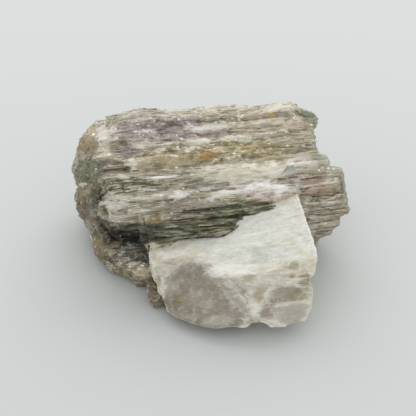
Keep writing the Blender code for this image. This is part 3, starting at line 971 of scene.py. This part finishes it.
def tourmaline_material(name, flaky=False):
    """Streaky tourmaline that changes from zone to zone, or the mica that lies over it."""
    material, graph, shader = new_material(name)
    shader.inputs["IOR"].default_value = 1.6
    shader.inputs["Specular IOR Level"].default_value = 0.7 if flaky else 0.4

    place = graph.place()
    colour, fleck = grouped(graph, zone_colours, [("vector", place)], ["colour", "colour"])
    streak, mica = grouped(graph, zone_mixes, [("vector", place)], ["number", "number"])
    given = [("vector", place), ("colour", colour)]
    colour, lively = grouped(graph, spot_colours, given, ["colour", "number"])

    swayed = along_fibres(graph, place)
    own = graph.node("ShaderNodeAttribute", {"attribute_name": "tint"}, (), 2)
    stand = graph.node("ShaderNodeAttribute", {"attribute_name": "stand"}, (), 2)
    facing = graph.node("ShaderNodeAttribute", {"attribute_name": "facing"}, (), 1)
    endwise = split(graph, facing)[0].ramp(0.3, 0.75)
    green_end = endwise * graph.noise(place, (2.5, 2.5, 2.5), 2.0, 0.5, 2.9).ramp(0.62, 0.5)
    colour = graph.tint(green_end * 0.8, colour, swatch("green_grey"))
    fine = graph.noise(swayed, (5.5, 0.42, 0.42), 2.0, 0.6, 3.1)
    grain = graph.noise(place, (0.9, 0.5, 0.5), 3.0, 0.7, 7.7)
    hue = graph.noise(swayed, (5.0, 1.6, 1.6), 3.0, 0.6, 12.3)
    colour = graph.tint(hue.ramp(0.5, 0.68) * 0.6, colour, graph.shaded(colour, PINKER))
    colour = graph.tint(hue.ramp(0.5, 0.32) * 0.6, colour, graph.shaded(colour, GREENER))
    dark = graph.shaded(colour, TOURMALINE_SHADE)
    cluster = mica_cluster(graph, place)
    if flaky:
        colour = graph.tint(own.ramp(0.2, 0.6) * 0.7, colour, fleck)
        colour = graph.tint(own.ramp(0.7, 1.0) * 0.9, colour, swatch("white"))
        graph.tree.links.new((0.42 - own * 0.25).socket, shader.inputs["Roughness"])
    else:
        streaky = graph.noise(swayed, (7.0, 0.5, 0.5), 4.0, 0.7, 1.9) + own * 0.2
        blotchy = graph.noise(place, (2.6, 1.4, 1.4), 5.0, 0.7, 9.9)
        crumb = graph.cell_chance(place, CRUMB_SIZE, CRUMB_OFFSET)
        blotchy = blotchy + (crumb - 0.5) * 0.14
        speck = graph.mix(streak, blotchy, streaky)
        colour = graph.tint(speck.ramp(0.53, 0.60) * lively * 0.8, colour, fleck)
        colour = graph.tint(speck.ramp(0.44, 0.36) * lively * 0.5, colour, dark)
        colour = graph.tint(fine.ramp(0.47, 0.39) * lively * (streak * 0.6 + 0.05), colour, dark)
        colour = graph.tint(fine.ramp(0.54, 0.61) * lively * (streak * 0.6 + 0.15), colour, fleck)
        colour = graph.tint(grain.ramp(0.44, 0.32) * lively * 0.3, colour, dark)
        colour = graph.tint(grain.ramp(0.58, 0.68) * lively * 0.4, colour, fleck)
        # Painted highlights: small white glints strewn over the flaky zones are painted into the
        # colour, and the surface is made glossier there.
        sparkle = graph.cells(place, (1.3, 0.7, 0.7), offset=8.4)
        lucky = split(graph, Value(graph, sparkle.socket.node.outputs[1]))[0]
        glint = (lucky > 1.0 - mica * cluster * 0.5) * sparkle.ramp(0.5, 0.35)
        colour = graph.tint(glint * 0.95, colour, swatch("white"))
        # Painted shade: the colour darkens in the hollows, where points lie below those around them.
        colour = graph.tint(stand.ramp(-0.02, -0.25) * lively * 0.6, colour, dark)
        (colour,) = grouped(graph, seam_colours, [("vector", place), ("colour", colour)], ["colour"])
        graph.tree.links.new((0.66 - fine * 0.2 - glint * 0.3).socket, shader.inputs["Roughness"])
    graph.tree.links.new(colour.socket, shader.inputs["Base Color"])
    link_bump(graph, shader, fine * 0.3 + grain * 0.3, 0.6)
    return material


class SPECIMEN_OT_tourmaline_sheaf(bpy.types.Operator):
    """Builds the sheaf's splintery skin"""

    bl_idname = "specimen.tourmaline_sheaf"
    bl_label = "Tourmaline sheaf"

    def execute(self, context):
        own = settings().sheaf
        sheaf = merged_copy("tourmaline_crystals", "tourmaline_sheaf")
        stretch_along(sheaf, 1 / own.stretch)
        apply_modifier(sheaf, "REMESH", mode="VOXEL", voxel_size=own.voxel)
        stretch_along(sheaf, own.stretch)
        apply_modifier(sheaf, "SMOOTH", factor=0.5, iterations=own.softening)
        soften(sheaf, *SOFT_ENDS)
        soften(sheaf, *SOFT_SLAB)
        graph, mesh = geometry_graph("splinters")
        relief = sheaf_relief(graph, graph.place(), own)
        apply_graph(sheaf, graph, push_out(graph, mesh, relief, SHEAF_FORMS))
        apply_modifier(sheaf, "DECIMATE", ratio=own.kept)
        store_hollows(sheaf, HOLLOW_PASSES)
        bpy.ops.object.shade_smooth_by_angle(angle=SMOOTH_ANGLE)
        finish_piece(sheaf, tourmaline_material("tourmaline"))
        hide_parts("tourmaline_crystals")
        return {"FINISHED"}


def scattered(graph, density, seed):
    """Points strewn over the finished sheaf, with the sheaf's normal, by density per square metre."""
    sheaf = graph.node("GeometryNodeObjectInfo", {}, {"Object": None}, 4)
    info = sheaf.socket.node
    info.inputs["Object"].default_value = bpy.data.objects["tourmaline_sheaf"]
    values = {"Mesh": sheaf, "Density": density, "Seed": seed}
    points = graph.node("GeometryNodeDistributePointsOnFaces", {}, values)
    return sheaf, points, Value(graph, points.socket.node.outputs["Normal"])


def chance(graph, low, high, seed):
    """A random number, or vector, for each point."""
    kind, first, output = ("FLOAT_VECTOR", 0, 0) if isinstance(low, tuple) else ("FLOAT", 2, 1)
    values = {first: low, first + 1: high, 8: seed}
    return graph.node("FunctionNodeRandomValue", {"data_type": kind}, values, output)


def placed_copies(piece, graph, points, shape, turn, scale, tint, material):
    """Ends a scatter: one copy of the shape on each point, joined into one mesh."""
    info = graph.node("GeometryNodeObjectInfo", {}, {}, 4)
    info.socket.node.inputs["Object"].default_value = shape
    copies = graph.node("GeometryNodeInstanceOnPoints", {}, {0: points, 2: info, 5: turn, 6: scale})
    stored = store(graph, copies, "tint", tint, domain="INSTANCE")
    apply_graph(piece, graph, graph.node("GeometryNodeRealizeInstances", {}, {0: stored}))
    bpy.data.objects.remove(shape)
    finish_piece(piece, material)


class SPECIMEN_OT_needles(bpy.types.Operator):
    """Lays thin needle crystals along the sheaf's fibrous skin"""

    bl_idname = "specimen.needles"
    bl_label = "Needles"

    def execute(self, context):
        own = settings().needles
        bpy.ops.object.select_all(action="DESELECT")
        lying = (0.0, math.pi / 2, 0.0)
        bpy.ops.mesh.primitive_cylinder_add(vertices=6, radius=1.0, depth=1.0, rotation=lying)
        shape = context.object
        bpy.ops.object.transform_apply(location=False, rotation=True, scale=False)

        piece = linked("tourmaline_needles", bpy.data.meshes.new("tourmaline_needles"))
        graph, unused = geometry_graph("needles")
        place = graph.place()
        streak, mica = grouped(graph, zone_mixes, [("vector", place)], ["number", "number"])
        flat = abs(split(graph, graph.node("GeometryNodeInputNormal"))[0]) < 0.55
        density = streak.ramp(0.2, 0.9) * flat * (own.density * PER_SQUARE_METRE)
        sheaf, points, normal = scattered(graph, density, 3)
        spread = (own.longest - own.shortest) / 2
        half = chance(graph, 0.0, 1.0, 11) ** 1.8 * spread + own.shortest / 2
        width = chance(graph, 0.0, 1.0, 12) ** 1.5 * (own.thickest - own.thinnest) + own.thinnest
        turn = chance(graph, (-3.1, -own.splay, -own.splay), (3.1, own.splay, own.splay), 13)
        sunk = graph.scaled(normal, width * -0.35)
        points = graph.node("GeometryNodeSetPosition", {}, {0: points, 3: sunk})
        here = graph.node("GeometryNodeInputPosition")
        away = 0.0
        for side in (-0.9, 0.9):
            end = graph.vector("ADD", here, graph.node("ShaderNodeCombineXYZ", {}, (half * side,)))
            faces = {"target_element": "FACES"}
            near = graph.node("GeometryNodeProximity", faces, {0: sheaf, 2: end}, 1)
            away = near.most(away)
        points = graph.node("GeometryNodeDeleteGeometry", {}, {0: points, 1: away > own.reach})
        size = (half * 2, width, width * chance(graph, 0.6, 1.0, 14))
        scale = graph.node("ShaderNodeCombineXYZ", {}, size)
        tint = chance(graph, -0.5, 0.5, 15)
        material = bpy.data.objects["tourmaline_sheaf"].data.materials[0]
        placed_copies(piece, graph, points, shape, turn, scale, tint, material)
        return {"FINISHED"}


class SPECIMEN_OT_mica_flakes(bpy.types.Operator):
    """Strews small mica flakes over the flaky zones"""

    bl_idname = "specimen.mica_flakes"
    bl_label = "Mica flakes"

    def execute(self, context):
        own = settings().mica
        bpy.ops.object.select_all(action="DESELECT")
        bpy.ops.mesh.primitive_cylinder_add(vertices=6, radius=1.0, depth=0.22)
        shape = context.object

        piece = linked("mica_flakes", bpy.data.meshes.new("mica_flakes"))
        graph, unused = geometry_graph("mica flakes")
        place = graph.place()
        streak, mica = grouped(graph, zone_mixes, [("vector", place)], ["number", "number"])
        cluster = mica_cluster(graph, place)
        density = mica ** 2.0 * (cluster * 0.9 + 0.1) * (own.density * PER_SQUARE_METRE)
        sheaf, points, normal = scattered(graph, density, 5)
        spin = chance(graph, (-own.tilt, -own.tilt, -3.1), (own.tilt, own.tilt, 3.1), 21)
        lying = graph.node("FunctionNodeAlignRotationToVector", {"axis": "Z"}, {2: normal})
        spin = graph.node("FunctionNodeEulerToRotation", {}, (spin,))
        turn = graph.node("FunctionNodeRotateRotation", {"rotation_space": "LOCAL"}, (lying, spin))
        width = chance(graph, 0.0, 1.0, 22) ** 2.2 * (own.largest - own.smallest) + own.smallest
        size = (width * chance(graph, 1.0, 1.7, 24), width, width)
        scale = graph.node("ShaderNodeCombineXYZ", {}, size)
        tint = chance(graph, 0.0, 1.0, 23)
        material = tourmaline_material("mica", flaky=True)
        placed_copies(piece, graph, points, shape, turn, scale, tint, material)
        return {"FINISHED"}


# ---------------------------------------------------------------- feldspar


FELDSPAR_SPOTS = rows(Spot, """
    top: feldspar_blue 10.9 6.9 20.2 8.8 1
    top window: blue_grey 9.1 1.3 2.4 2.2 0.3
    top cream: feldspar_cream 16.5 4.8 2.4 1.4 0.55
    upper cream: feldspar_cream 17.8 10.2 1.4 1.7 0.4
    upper chamfer: feldspar_cream -13.7 4.1 7.6 1.7 0.9
    low chamfer: feldspar_front -12.9 1.5 5.7 1.4 0.7
    bright ridge: white 1.3 -1.8 7.6 1.7 0.75
    right ridge: feldspar_cream 12 -2.5 6.5 1.7 0.7
    front: feldspar_front 11.4 -8.8 12.2 6.1 0.9
    front left: feldspar_front -10.4 -6.5 9.7 7.2 0.8
    left rim: feldspar_cream -18.3 -4.6 2.2 5.5 0.7
    right lumps: feldspar_cream 21.3 -2.5 2.4 5 0.7
    rim strip: feldspar_cream 9 -5.5 12.2 1 0.5
    white tip: white 6.6 -13.3 1.6 2.5 0.5
    tip rim: feldspar_cream 20.9 16.7 1.9 1.1 0.7
""")
# Stains, and painted light: the spots named shade are painted shade, and those named glow are painted
# light.
FELDSPAR_STAINS_AND_PAINTED_LIGHT = rows(Spot, """
    rim stain: feldspar_stain 18.1 -2.2 1.4 1.1 0.4
    red tick: iron 17.5 -4.6 0.9 0.4 0.6
    stain below: feldspar_stain 20.6 -6.3 1.8 1.9 0.8
    stain low: feldspar_stain 18.7 -10.1 2.4 1.7 0.85
    mid stain: feldspar_stain 5.9 -4 1.6 0.7 0.35
    chamfer stain: feldspar_stain -15.6 2 1.8 0.9 0.15
    chamfer stain right: feldspar_stain -11.4 0.8 1.4 0.8 0.3
    yellow speck: olive_yellow -13.6 -8.6 1.4 0.8 0.8
    brown left: tan -15.6 -10.4 2.2 1.7 0.55
    rim hole: olive_brown -19.1 -3.2 0.6 1.2 0.6
    grey cloud: feldspar_pink -10.4 -11.8 2.7 1.7 0.4
    veil: feldspar_pale -6.8 -10.6 2.2 1.1 0.6
    pale foot: feldspar_pale -3.8 -15.3 4.3 1.4 0.6
    pinkish foot: feldspar_pale -11.2 -14.3 2.4 1.4 0.4
    green haze: green_grey -5.3 -2.4 1.6 2.2 0.5
    pale seam: feldspar_cream 15.5 -6.1 4.3 0.8 0.5
    left cloud: feldspar_pale -14.6 -4.8 1.4 2.5 0.4
    white line: white 2.2 -8.2 0.5 0.6 0.5
    upper grey: feldspar_smoke -10 -1.8 3.8 1.9 0.3
    left brown: feldspar_smoke -15.5 -8.7 2.4 2.5 0.5
    left glow: feldspar_pale -18.1 -1.8 1.6 3.3 0.7
    mid rose: feldspar_rose -7.9 -8.3 3.8 2.2 0.3
    foot brown: brown -13.9 -15.2 5.9 0.7 0.5
    shell edge: white 12.8 -12.8 2.7 0.4 0.5
    shell side: feldspar_pale 20.7 -14.2 1.1 2.5 0.4
    right beige: feldspar_tan 21.7 -7.9 1.1 2.5 0.5
    ridge glow: white -3.7 -1.9 2.4 1.4 0.6
    v ridge: white 2.9 -7.5 1.1 1.9 0.35
    chamfer glow: feldspar_cream -13.8 3.8 5.9 1 0.7
    f two: feldspar_tan 4.6 -5.9 1.9 1.4 0.5
    tri shade: feldspar_pink 2.5 -8 1.6 1.7 0.5
    corner cream: feldspar_cream -18.1 4.2 1.6 1.7 0.8
    chamfer white: white -14.3 4.1 4.3 1 0.65
    ridge beige: feldspar_front 12.8 -5.6 4.9 0.8 0.5
    right cream lump: feldspar_cream 22.8 -1.5 1.4 1.9 0.6
    left edge cream: feldspar_cream -19.7 2 0.8 1.9 0.4
    left pale: feldspar_pale -16.2 -4.7 1.4 3.9 0.45
    v shade: feldspar_pink 9.6 -13.6 2.4 2.5 0.55
    v shade low: feldspar_tan 5.7 -16 2.4 1.7 0.7
    right shade: feldspar_stain 20.5 -7.7 1.6 4.7 0.35
    rim shade: feldspar_stain 17 -1.5 2.4 1.1 0.3
    v tip: white 6.3 -13.5 0.8 1.4 0.3
    band shade: feldspar_shell 0.5 -9.5 1.4 3.3 0.4
    left pale low: feldspar_front -17.9 -2.1 0.8 2.8 0.4
""")

FELDSPAR_SEAMS = rows(Seam, """
    v ridge left: feldspar_cream 0.6 0 0.65 0.1,-4.5 3,-9.1 6.2,-14.3
    v ridge right: feldspar_cream 0.7 0 0.65 6.2,-14.3 9.2,-9.9 12.2,-5.8
    shell top: feldspar_cream 0.7 0 0.55 11.3,-12.8 13.7,-12.1 18.2,-12.3 21.7,-12.1
    shell left: feldspar_pale 0.6 0 0.5 11.3,-12.8 11.8,-15.5 13.4,-17.4
    upper edge: feldspar_pale 0.5 0 0.7 -1.4,-2.9 2.6,-4.7 7,-5.7 11.1,-6.8
    glass edge: feldspar_pale 0.6 0 0.7 -7.3,1.1 -4.6,-3.8 0.7,-10.3 4.3,-15.1
    inner line: feldspar_stain 0.35 0.2 0.6 1.9,-5.7 3.6,-8.1 4.6,-11.2
    break edge: feldspar_smoke 0.35 0.15 0.35 9.6,-10.8 12.3,-11.4 16.3,-11.5 19.1,-11.3
    chamfer line: feldspar_stain 0.4 0.2 0.5 -17.8,1.9 -13.5,1 -9.3,0.1
    crest line: white 0.5 0 0.6 -3.4,-0.3 1.2,-2.1 7,-3.1 13.1,-2.3
    vein a: white 0.5 0 0.5 2.6,6.8 8.2,7.4 15,8.5
    vein b: white 0.5 0 0.5 -2.8,4 4.5,4.7 12.8,5.4
    vein c: blue_grey 0.5 0 0.35 4.2,2.8 10.3,3.7 17.9,3.8
    vein d: blue_grey 0.5 0 0.35 8.7,10.2 14.5,11.9 19.6,13.1
    tip edge: feldspar_cream 0.6 0 0.6 12,14.1 16.2,15.4 19.7,16.2
""")

FELDSPAR_FACETS = rows(Facet, """
    glassy break: feldspar_pink 0.3 3 0.9 -18.7,-8.9 -17.4,-13.4 -11.3,-17.6 1,-18.5 4.7,-14.2 \
        -0.3,-6.1 -5.8,0.4 -9.4,1.5 -13,0.7 -15.9,-1.4 -17.6,-4.9
    green band: green_grey 0 2.4 0.45 -4.6,-3.5 -0,-9.4 3.8,-15.6 6.5,-14.7 4.7,-10.9 0.6,-5.3 \
        -4.1,0.8 -6.2,1
    triangle: feldspar_rose 0.25 1.6 0.9 2.4,-9.1 4.5,-10.3 3.8,-5.9 0.2,-3.6 -1.5,-4
    inner facet: feldspar_tan 0.15 1.8 0.7 5.8,-10.2 8.1,-12.3 10.5,-7 6.2,-6.6
    pinkish break: feldspar_pink 0.3 2.4 0.8 11.1,-12.1 14.6,-12.2 19.4,-11.8 19.3,-9 16.5,-7 \
        12.7,-7.2 9.6,-10.2
    low beige: feldspar_tan 0.2 2 0.7 11.5,-16 12.4,-15 11.4,-12.4 8.3,-12.9 6.8,-15.5
    shell: feldspar_shell 0.3 2 0.85 12,-16.4 14.5,-18.6 18,-18.7 20.6,-15.9 21.3,-13.2 18,-12 \
        14,-11.8 11.1,-13.2
""")


# What the colour is multiplied by where it is darker: in its clouds, patches, streaks and grain, and as
# painted shade in its hollows.
FELDSPAR_SHADE = (0.7, 0.65, 0.57)


def feldspar_seams(graph, place, colour):
    """The colour with the feldspar's seams laid over it."""
    return seam_colours(graph, place, colour, FELDSPAR_SEAMS)


def feldspar_material():
    """White feldspar: bluish cleavage, cream bruised edges and glassy breaks."""
    material, graph, shader = new_material("white feldspar")
    shader.inputs["IOR"].default_value = 1.53
    shader.inputs["Specular IOR Level"].default_value = 0.4
    shader.inputs["Subsurface Weight"].default_value = 0.25
    shader.inputs["Subsurface Radius"].default_value = (1.0, 0.85, 0.7)
    shader.inputs["Subsurface Scale"].default_value = 1.6 * MM

    place = graph.place()
    slope = on_slope(graph, place, SPOT_RAGGEDNESS)
    colour = swatch("feldspar_rim")
    cloud = graph.noise(place, (4.0, 3.0, 3.0), 4.0, 0.6)
    patch = graph.noise(place, (2.0, 1.5, 1.5), 4.0, 0.65, 6.1)
    grain = graph.noise(place, (0.7, 0.5, 0.5), 3.0, 0.7, 8.8)
    streaks = graph.noise(place, (9.0, 0.8, 0.8), 4.0, 0.65, 4.4)
    glass = 0.0
    edge = 0.0
    for spot in FELDSPAR_SPOTS:
        colour = graph.tint(inside(graph, slope, spot), colour, swatch(spot.colour))
    for facet in FELDSPAR_FACETS:
        reach = facet_reach(graph, slope, facet) + (patch - 0.5) * facet.soft * 2.0
        mask = reach.ramp(-facet.soft / 2, facet.soft / 2, 0.0, facet.strength)
        colour = graph.tint(mask, colour, swatch(facet.colour))
        glass = mask.most(glass)
        edge = abs(reach).ramp(0.9, 0.1).most(edge)
    for spot in FELDSPAR_STAINS_AND_PAINTED_LIGHT:
        colour = graph.tint(inside(graph, slope, spot), colour, swatch(spot.colour))

    stand = graph.node("ShaderNodeAttribute", {"attribute_name": "stand"}, (), 2)
    dark = graph.shaded(colour, FELDSPAR_SHADE)
    white, veil = swatch("white"), swatch("feldspar_pale")
    colour = graph.tint(cloud.ramp(0.5, 0.34) * (glass * 0.25 + 0.12), colour, dark)
    colour = graph.tint(cloud.ramp(0.52, 0.66) * glass * 0.28, colour, veil)
    colour = graph.tint(patch.ramp(0.47, 0.36) * 0.25, colour, dark)
    colour = graph.tint(streaks.ramp(0.52, 0.62) * (0.4 - glass * 0.35), colour, white)
    colour = graph.tint(streaks.ramp(0.46, 0.36) * (0.3 - glass * 0.2), colour, dark)
    colour = graph.tint(patch.ramp(0.54, 0.66) * (0.4 - glass * 0.25), colour, white)
    colour = graph.tint(edge * patch.ramp(0.4, 0.55) * 0.3, colour, white)
    colour = graph.tint(grain.ramp(0.42, 0.3) * 0.25, colour, dark)
    # Painted highlight and painted shade: raised edges are painted whiter, hollows darker.
    colour = graph.tint(stand.ramp(0.02, 0.25) * (0.5 - glass * 0.3), colour, white)
    colour = graph.tint(stand.ramp(-0.03, -0.25) * 0.6, colour, dark)
    (colour,) = grouped(graph, feldspar_seams, [("vector", place), ("colour", colour)], ["colour"])
    graph.tree.links.new(colour.socket, shader.inputs["Base Color"])
    rough = graph.mix(glass, 0.6, 0.32) + (grain - 0.5) * 0.3
    graph.tree.links.new(rough.socket, shader.inputs["Roughness"])
    link_bump(graph, shader, cloud * 0.3 + streaks * 0.3 + grain * 0.2, 0.5)
    return material


FELDSPAR_FORMS = rows(Form, """
    glassy foot: -6,-26,3 15,9,6 0,-1.2,0
    right foot: 20.5,-30,6 7,7,9 1,-1,0
    left foot: -14.5,-21.5,1.5 7,6,5 -0.6,-1.3,0
    foot notch: 1.6,-28.3,1.2 5,4.5,3.8 0,2.7,1
    right side: 23.5,-20,9 4,12,9 -0.7,0,0
    right toe: 16.5,-29.5,2 4,4,3 0,-0.9,0
    back edge left: -9,-9.8,17.6 14,4,3 0,1.6,0.3
    back edge right: 6,-8.5,21.6 6,4,3 0,2.1,0.3
    right lump: 22.5,-21,19.5 3.5,4,3.5 0.7,0,0.6
    right dent: 23.5,-25.5,13.5 3,3.5,2.5 -0.9,0.5,0
    rim pit: -18.9,-14.8,8.6 1.4,2.5,2.4 1.6,1.4,0
""")


def feldspar_relief(graph, place, own):
    """Height of the sunk facets, steps and rough edges over the flat solid, in millimetres."""
    slope = on_slope(graph, place, SPOT_RAGGEDNESS)
    height = own.swell / MM
    glass = 0.0
    for facet in FELDSPAR_FACETS:
        if facet.depth:
            mask = facet_reach(graph, slope, facet).ramp(-0.5, 0.8)
            height = mask * -facet.depth + height
            glass = mask.most(glass)
    uneven = graph.noise(place, (5.0, 4.0, 4.0), 5.0, 0.55, 1.3) - 0.5
    bruise = graph.noise(place, (1.8, 1.4, 1.4), 4.0, 0.6, 3.7) - 0.5
    steps = graph.cell_chance(place, (4.5, 1.8, 1.8), 6.1) - 0.5
    rough = 1 - glass * 0.7
    uneven = uneven * (own.rough_height / MM * 2) + bruise * (own.bruise_height / MM * 2)
    height = height + uneven * rough
    return height + steps * (own.step_height / MM)


class SPECIMEN_OT_feldspar_wedge(bpy.types.Operator):
    """Builds the wedge of white feldspar"""

    bl_idname = "specimen.feldspar_wedge"
    bl_label = "Feldspar wedge"

    def execute(self, context):
        own = settings().feldspar
        wedge = merged_copy("feldspar_block", "feldspar_wedge")
        apply_modifier(wedge, "REMESH", mode="VOXEL", voxel_size=own.voxel)
        apply_modifier(wedge, "SMOOTH", factor=0.5, iterations=own.softening)
        graph, mesh = geometry_graph("feldspar break")
        relief = feldspar_relief(graph, graph.place(), own)
        apply_graph(wedge, graph, push_out(graph, mesh, relief, FELDSPAR_FORMS))
        store_hollows(wedge, HOLLOW_PASSES)
        bpy.ops.object.shade_smooth_by_angle(angle=SMOOTH_ANGLE)
        finish_piece(wedge, feldspar_material())
        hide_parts("feldspar_block")
        return {"FINISHED"}


# ---------------------------------------------------------------- stage

# In metres.
FLOOR_SIZE = 8.0
SOFTBOX_PLACE = (0.12, 0.75, 0.70)
SOFTBOX_SIZE = (1.6, 0.8)
SOFTBOX_AIM = (0.0, 0.0, 0.02)
# In millimetres, as are the camera's lens and sensor.
CAMERA_PLACE = (-37.523, -248.801, 247.498)
CAMERA_AZIMUTH = math.radians(-8.0)
CAMERA_ELEVATION = math.radians(42.0)
CAMERA_LENS = 102.245
CAMERA_SENSOR = 36.0


class SPECIMEN_OT_stage(bpy.types.Operator):
    """Sets out the pale floor, the soft light and the camera"""

    bl_idname = "specimen.stage"
    bl_label = "Stage"

    def execute(self, context):
        own = settings().stage
        scene = context.scene
        bpy.ops.object.select_all(action="DESELECT")
        bpy.ops.mesh.primitive_plane_add(size=FLOOR_SIZE)
        floor = context.object
        floor.name = "floor"
        material, graph, shader = new_material("floor")
        shader.inputs["Base Color"].default_value = (*own.floor_colour, 1.0)
        shader.inputs["Roughness"].default_value = 0.6
        floor.data.materials.append(material)

        world = bpy.data.worlds.new("studio")
        scene.world = world
        world.use_nodes = True
        background = world.node_tree.nodes["Background"]
        background.inputs["Color"].default_value = (0.98, 1.0, 0.995, 1.0)
        background.inputs["Strength"].default_value = own.fill

        light = bpy.data.lights.new("softbox", "AREA")
        light.energy = own.key_power
        light.shape = "RECTANGLE"
        light.size, light.size_y = SOFTBOX_SIZE
        lamp = bpy.data.objects.new("softbox", light)
        scene.collection.objects.link(lamp)
        lamp.location = SOFTBOX_PLACE
        ahead = Vector(SOFTBOX_AIM) - lamp.location
        lamp.rotation_euler = ahead.to_track_quat("-Z", "Y").to_euler()

        level = math.cos(CAMERA_ELEVATION)
        sine, cosine = math.sin(CAMERA_AZIMUTH), math.cos(CAMERA_AZIMUTH)
        back = Vector((sine * level, -cosine * level, math.sin(CAMERA_ELEVATION)))
        right = Vector((cosine, sine, 0.0))
        turn = Matrix((right, back.cross(right), back)).transposed().to_4x4()
        lens = bpy.data.cameras.new("camera")
        lens.lens = CAMERA_LENS
        lens.sensor_width = CAMERA_SENSOR
        lens.clip_start = 0.01
        lens.clip_end = 20.0
        camera = bpy.data.objects.new("camera", lens)
        scene.collection.objects.link(camera)
        camera.matrix_world = Matrix.Translation(Vector(CAMERA_PLACE) * MM) @ turn
        scene.camera = camera

        scene.view_settings.view_transform = "Standard"
        scene.view_settings.look = "None"
        return {"FINISHED"}


# ---------------------------------------------------------------- panel and registration


class SPECIMEN_PT_panel(bpy.types.Panel):
    """Lists the specimen's operators and settings"""

    bl_idname = "SPECIMEN_PT_panel"
    bl_label = "Tourmaline specimen"
    bl_space_type = "VIEW_3D"
    bl_region_type = "UI"
    bl_category = "Specimen"

    def draw(self, context):
        own = context.scene.specimen
        for operator in OPERATORS:
            self.layout.operator(operator.bl_idname)
        for group in (own.sheaf, own.needles, own.mica, own.feldspar, own.palette, own.stage):
            box = self.layout.box()
            for name in group.bl_rna.properties.keys():
                if name not in ("rna_type", "name"):
                    box.prop(group, name)


OPERATORS = (
    SPECIMEN_OT_tourmaline_sheaf,
    SPECIMEN_OT_needles,
    SPECIMEN_OT_mica_flakes,
    SPECIMEN_OT_feldspar_wedge,
    SPECIMEN_OT_stage,
)
CLASSES = (
    SheafSettings, NeedleSettings, MicaSettings, FeldsparSettings, Palette, StageSettings,
    SpecimenSettings, *OPERATORS, SPECIMEN_PT_panel,
)


def register():
    for cls in CLASSES:
        bpy.utils.register_class(cls)
    bpy.types.Scene.specimen = PointerProperty(type=SpecimenSettings)


def unregister():
    del bpy.types.Scene.specimen
    for cls in reversed(CLASSES):
        bpy.utils.unregister_class(cls)


def main():
    register()
    bpy.ops.specimen.tourmaline_sheaf()
    bpy.ops.specimen.needles()
    bpy.ops.specimen.mica_flakes()
    bpy.ops.specimen.feldspar_wedge()
    bpy.ops.specimen.stage()


if __name__ == "__main__":
    main()
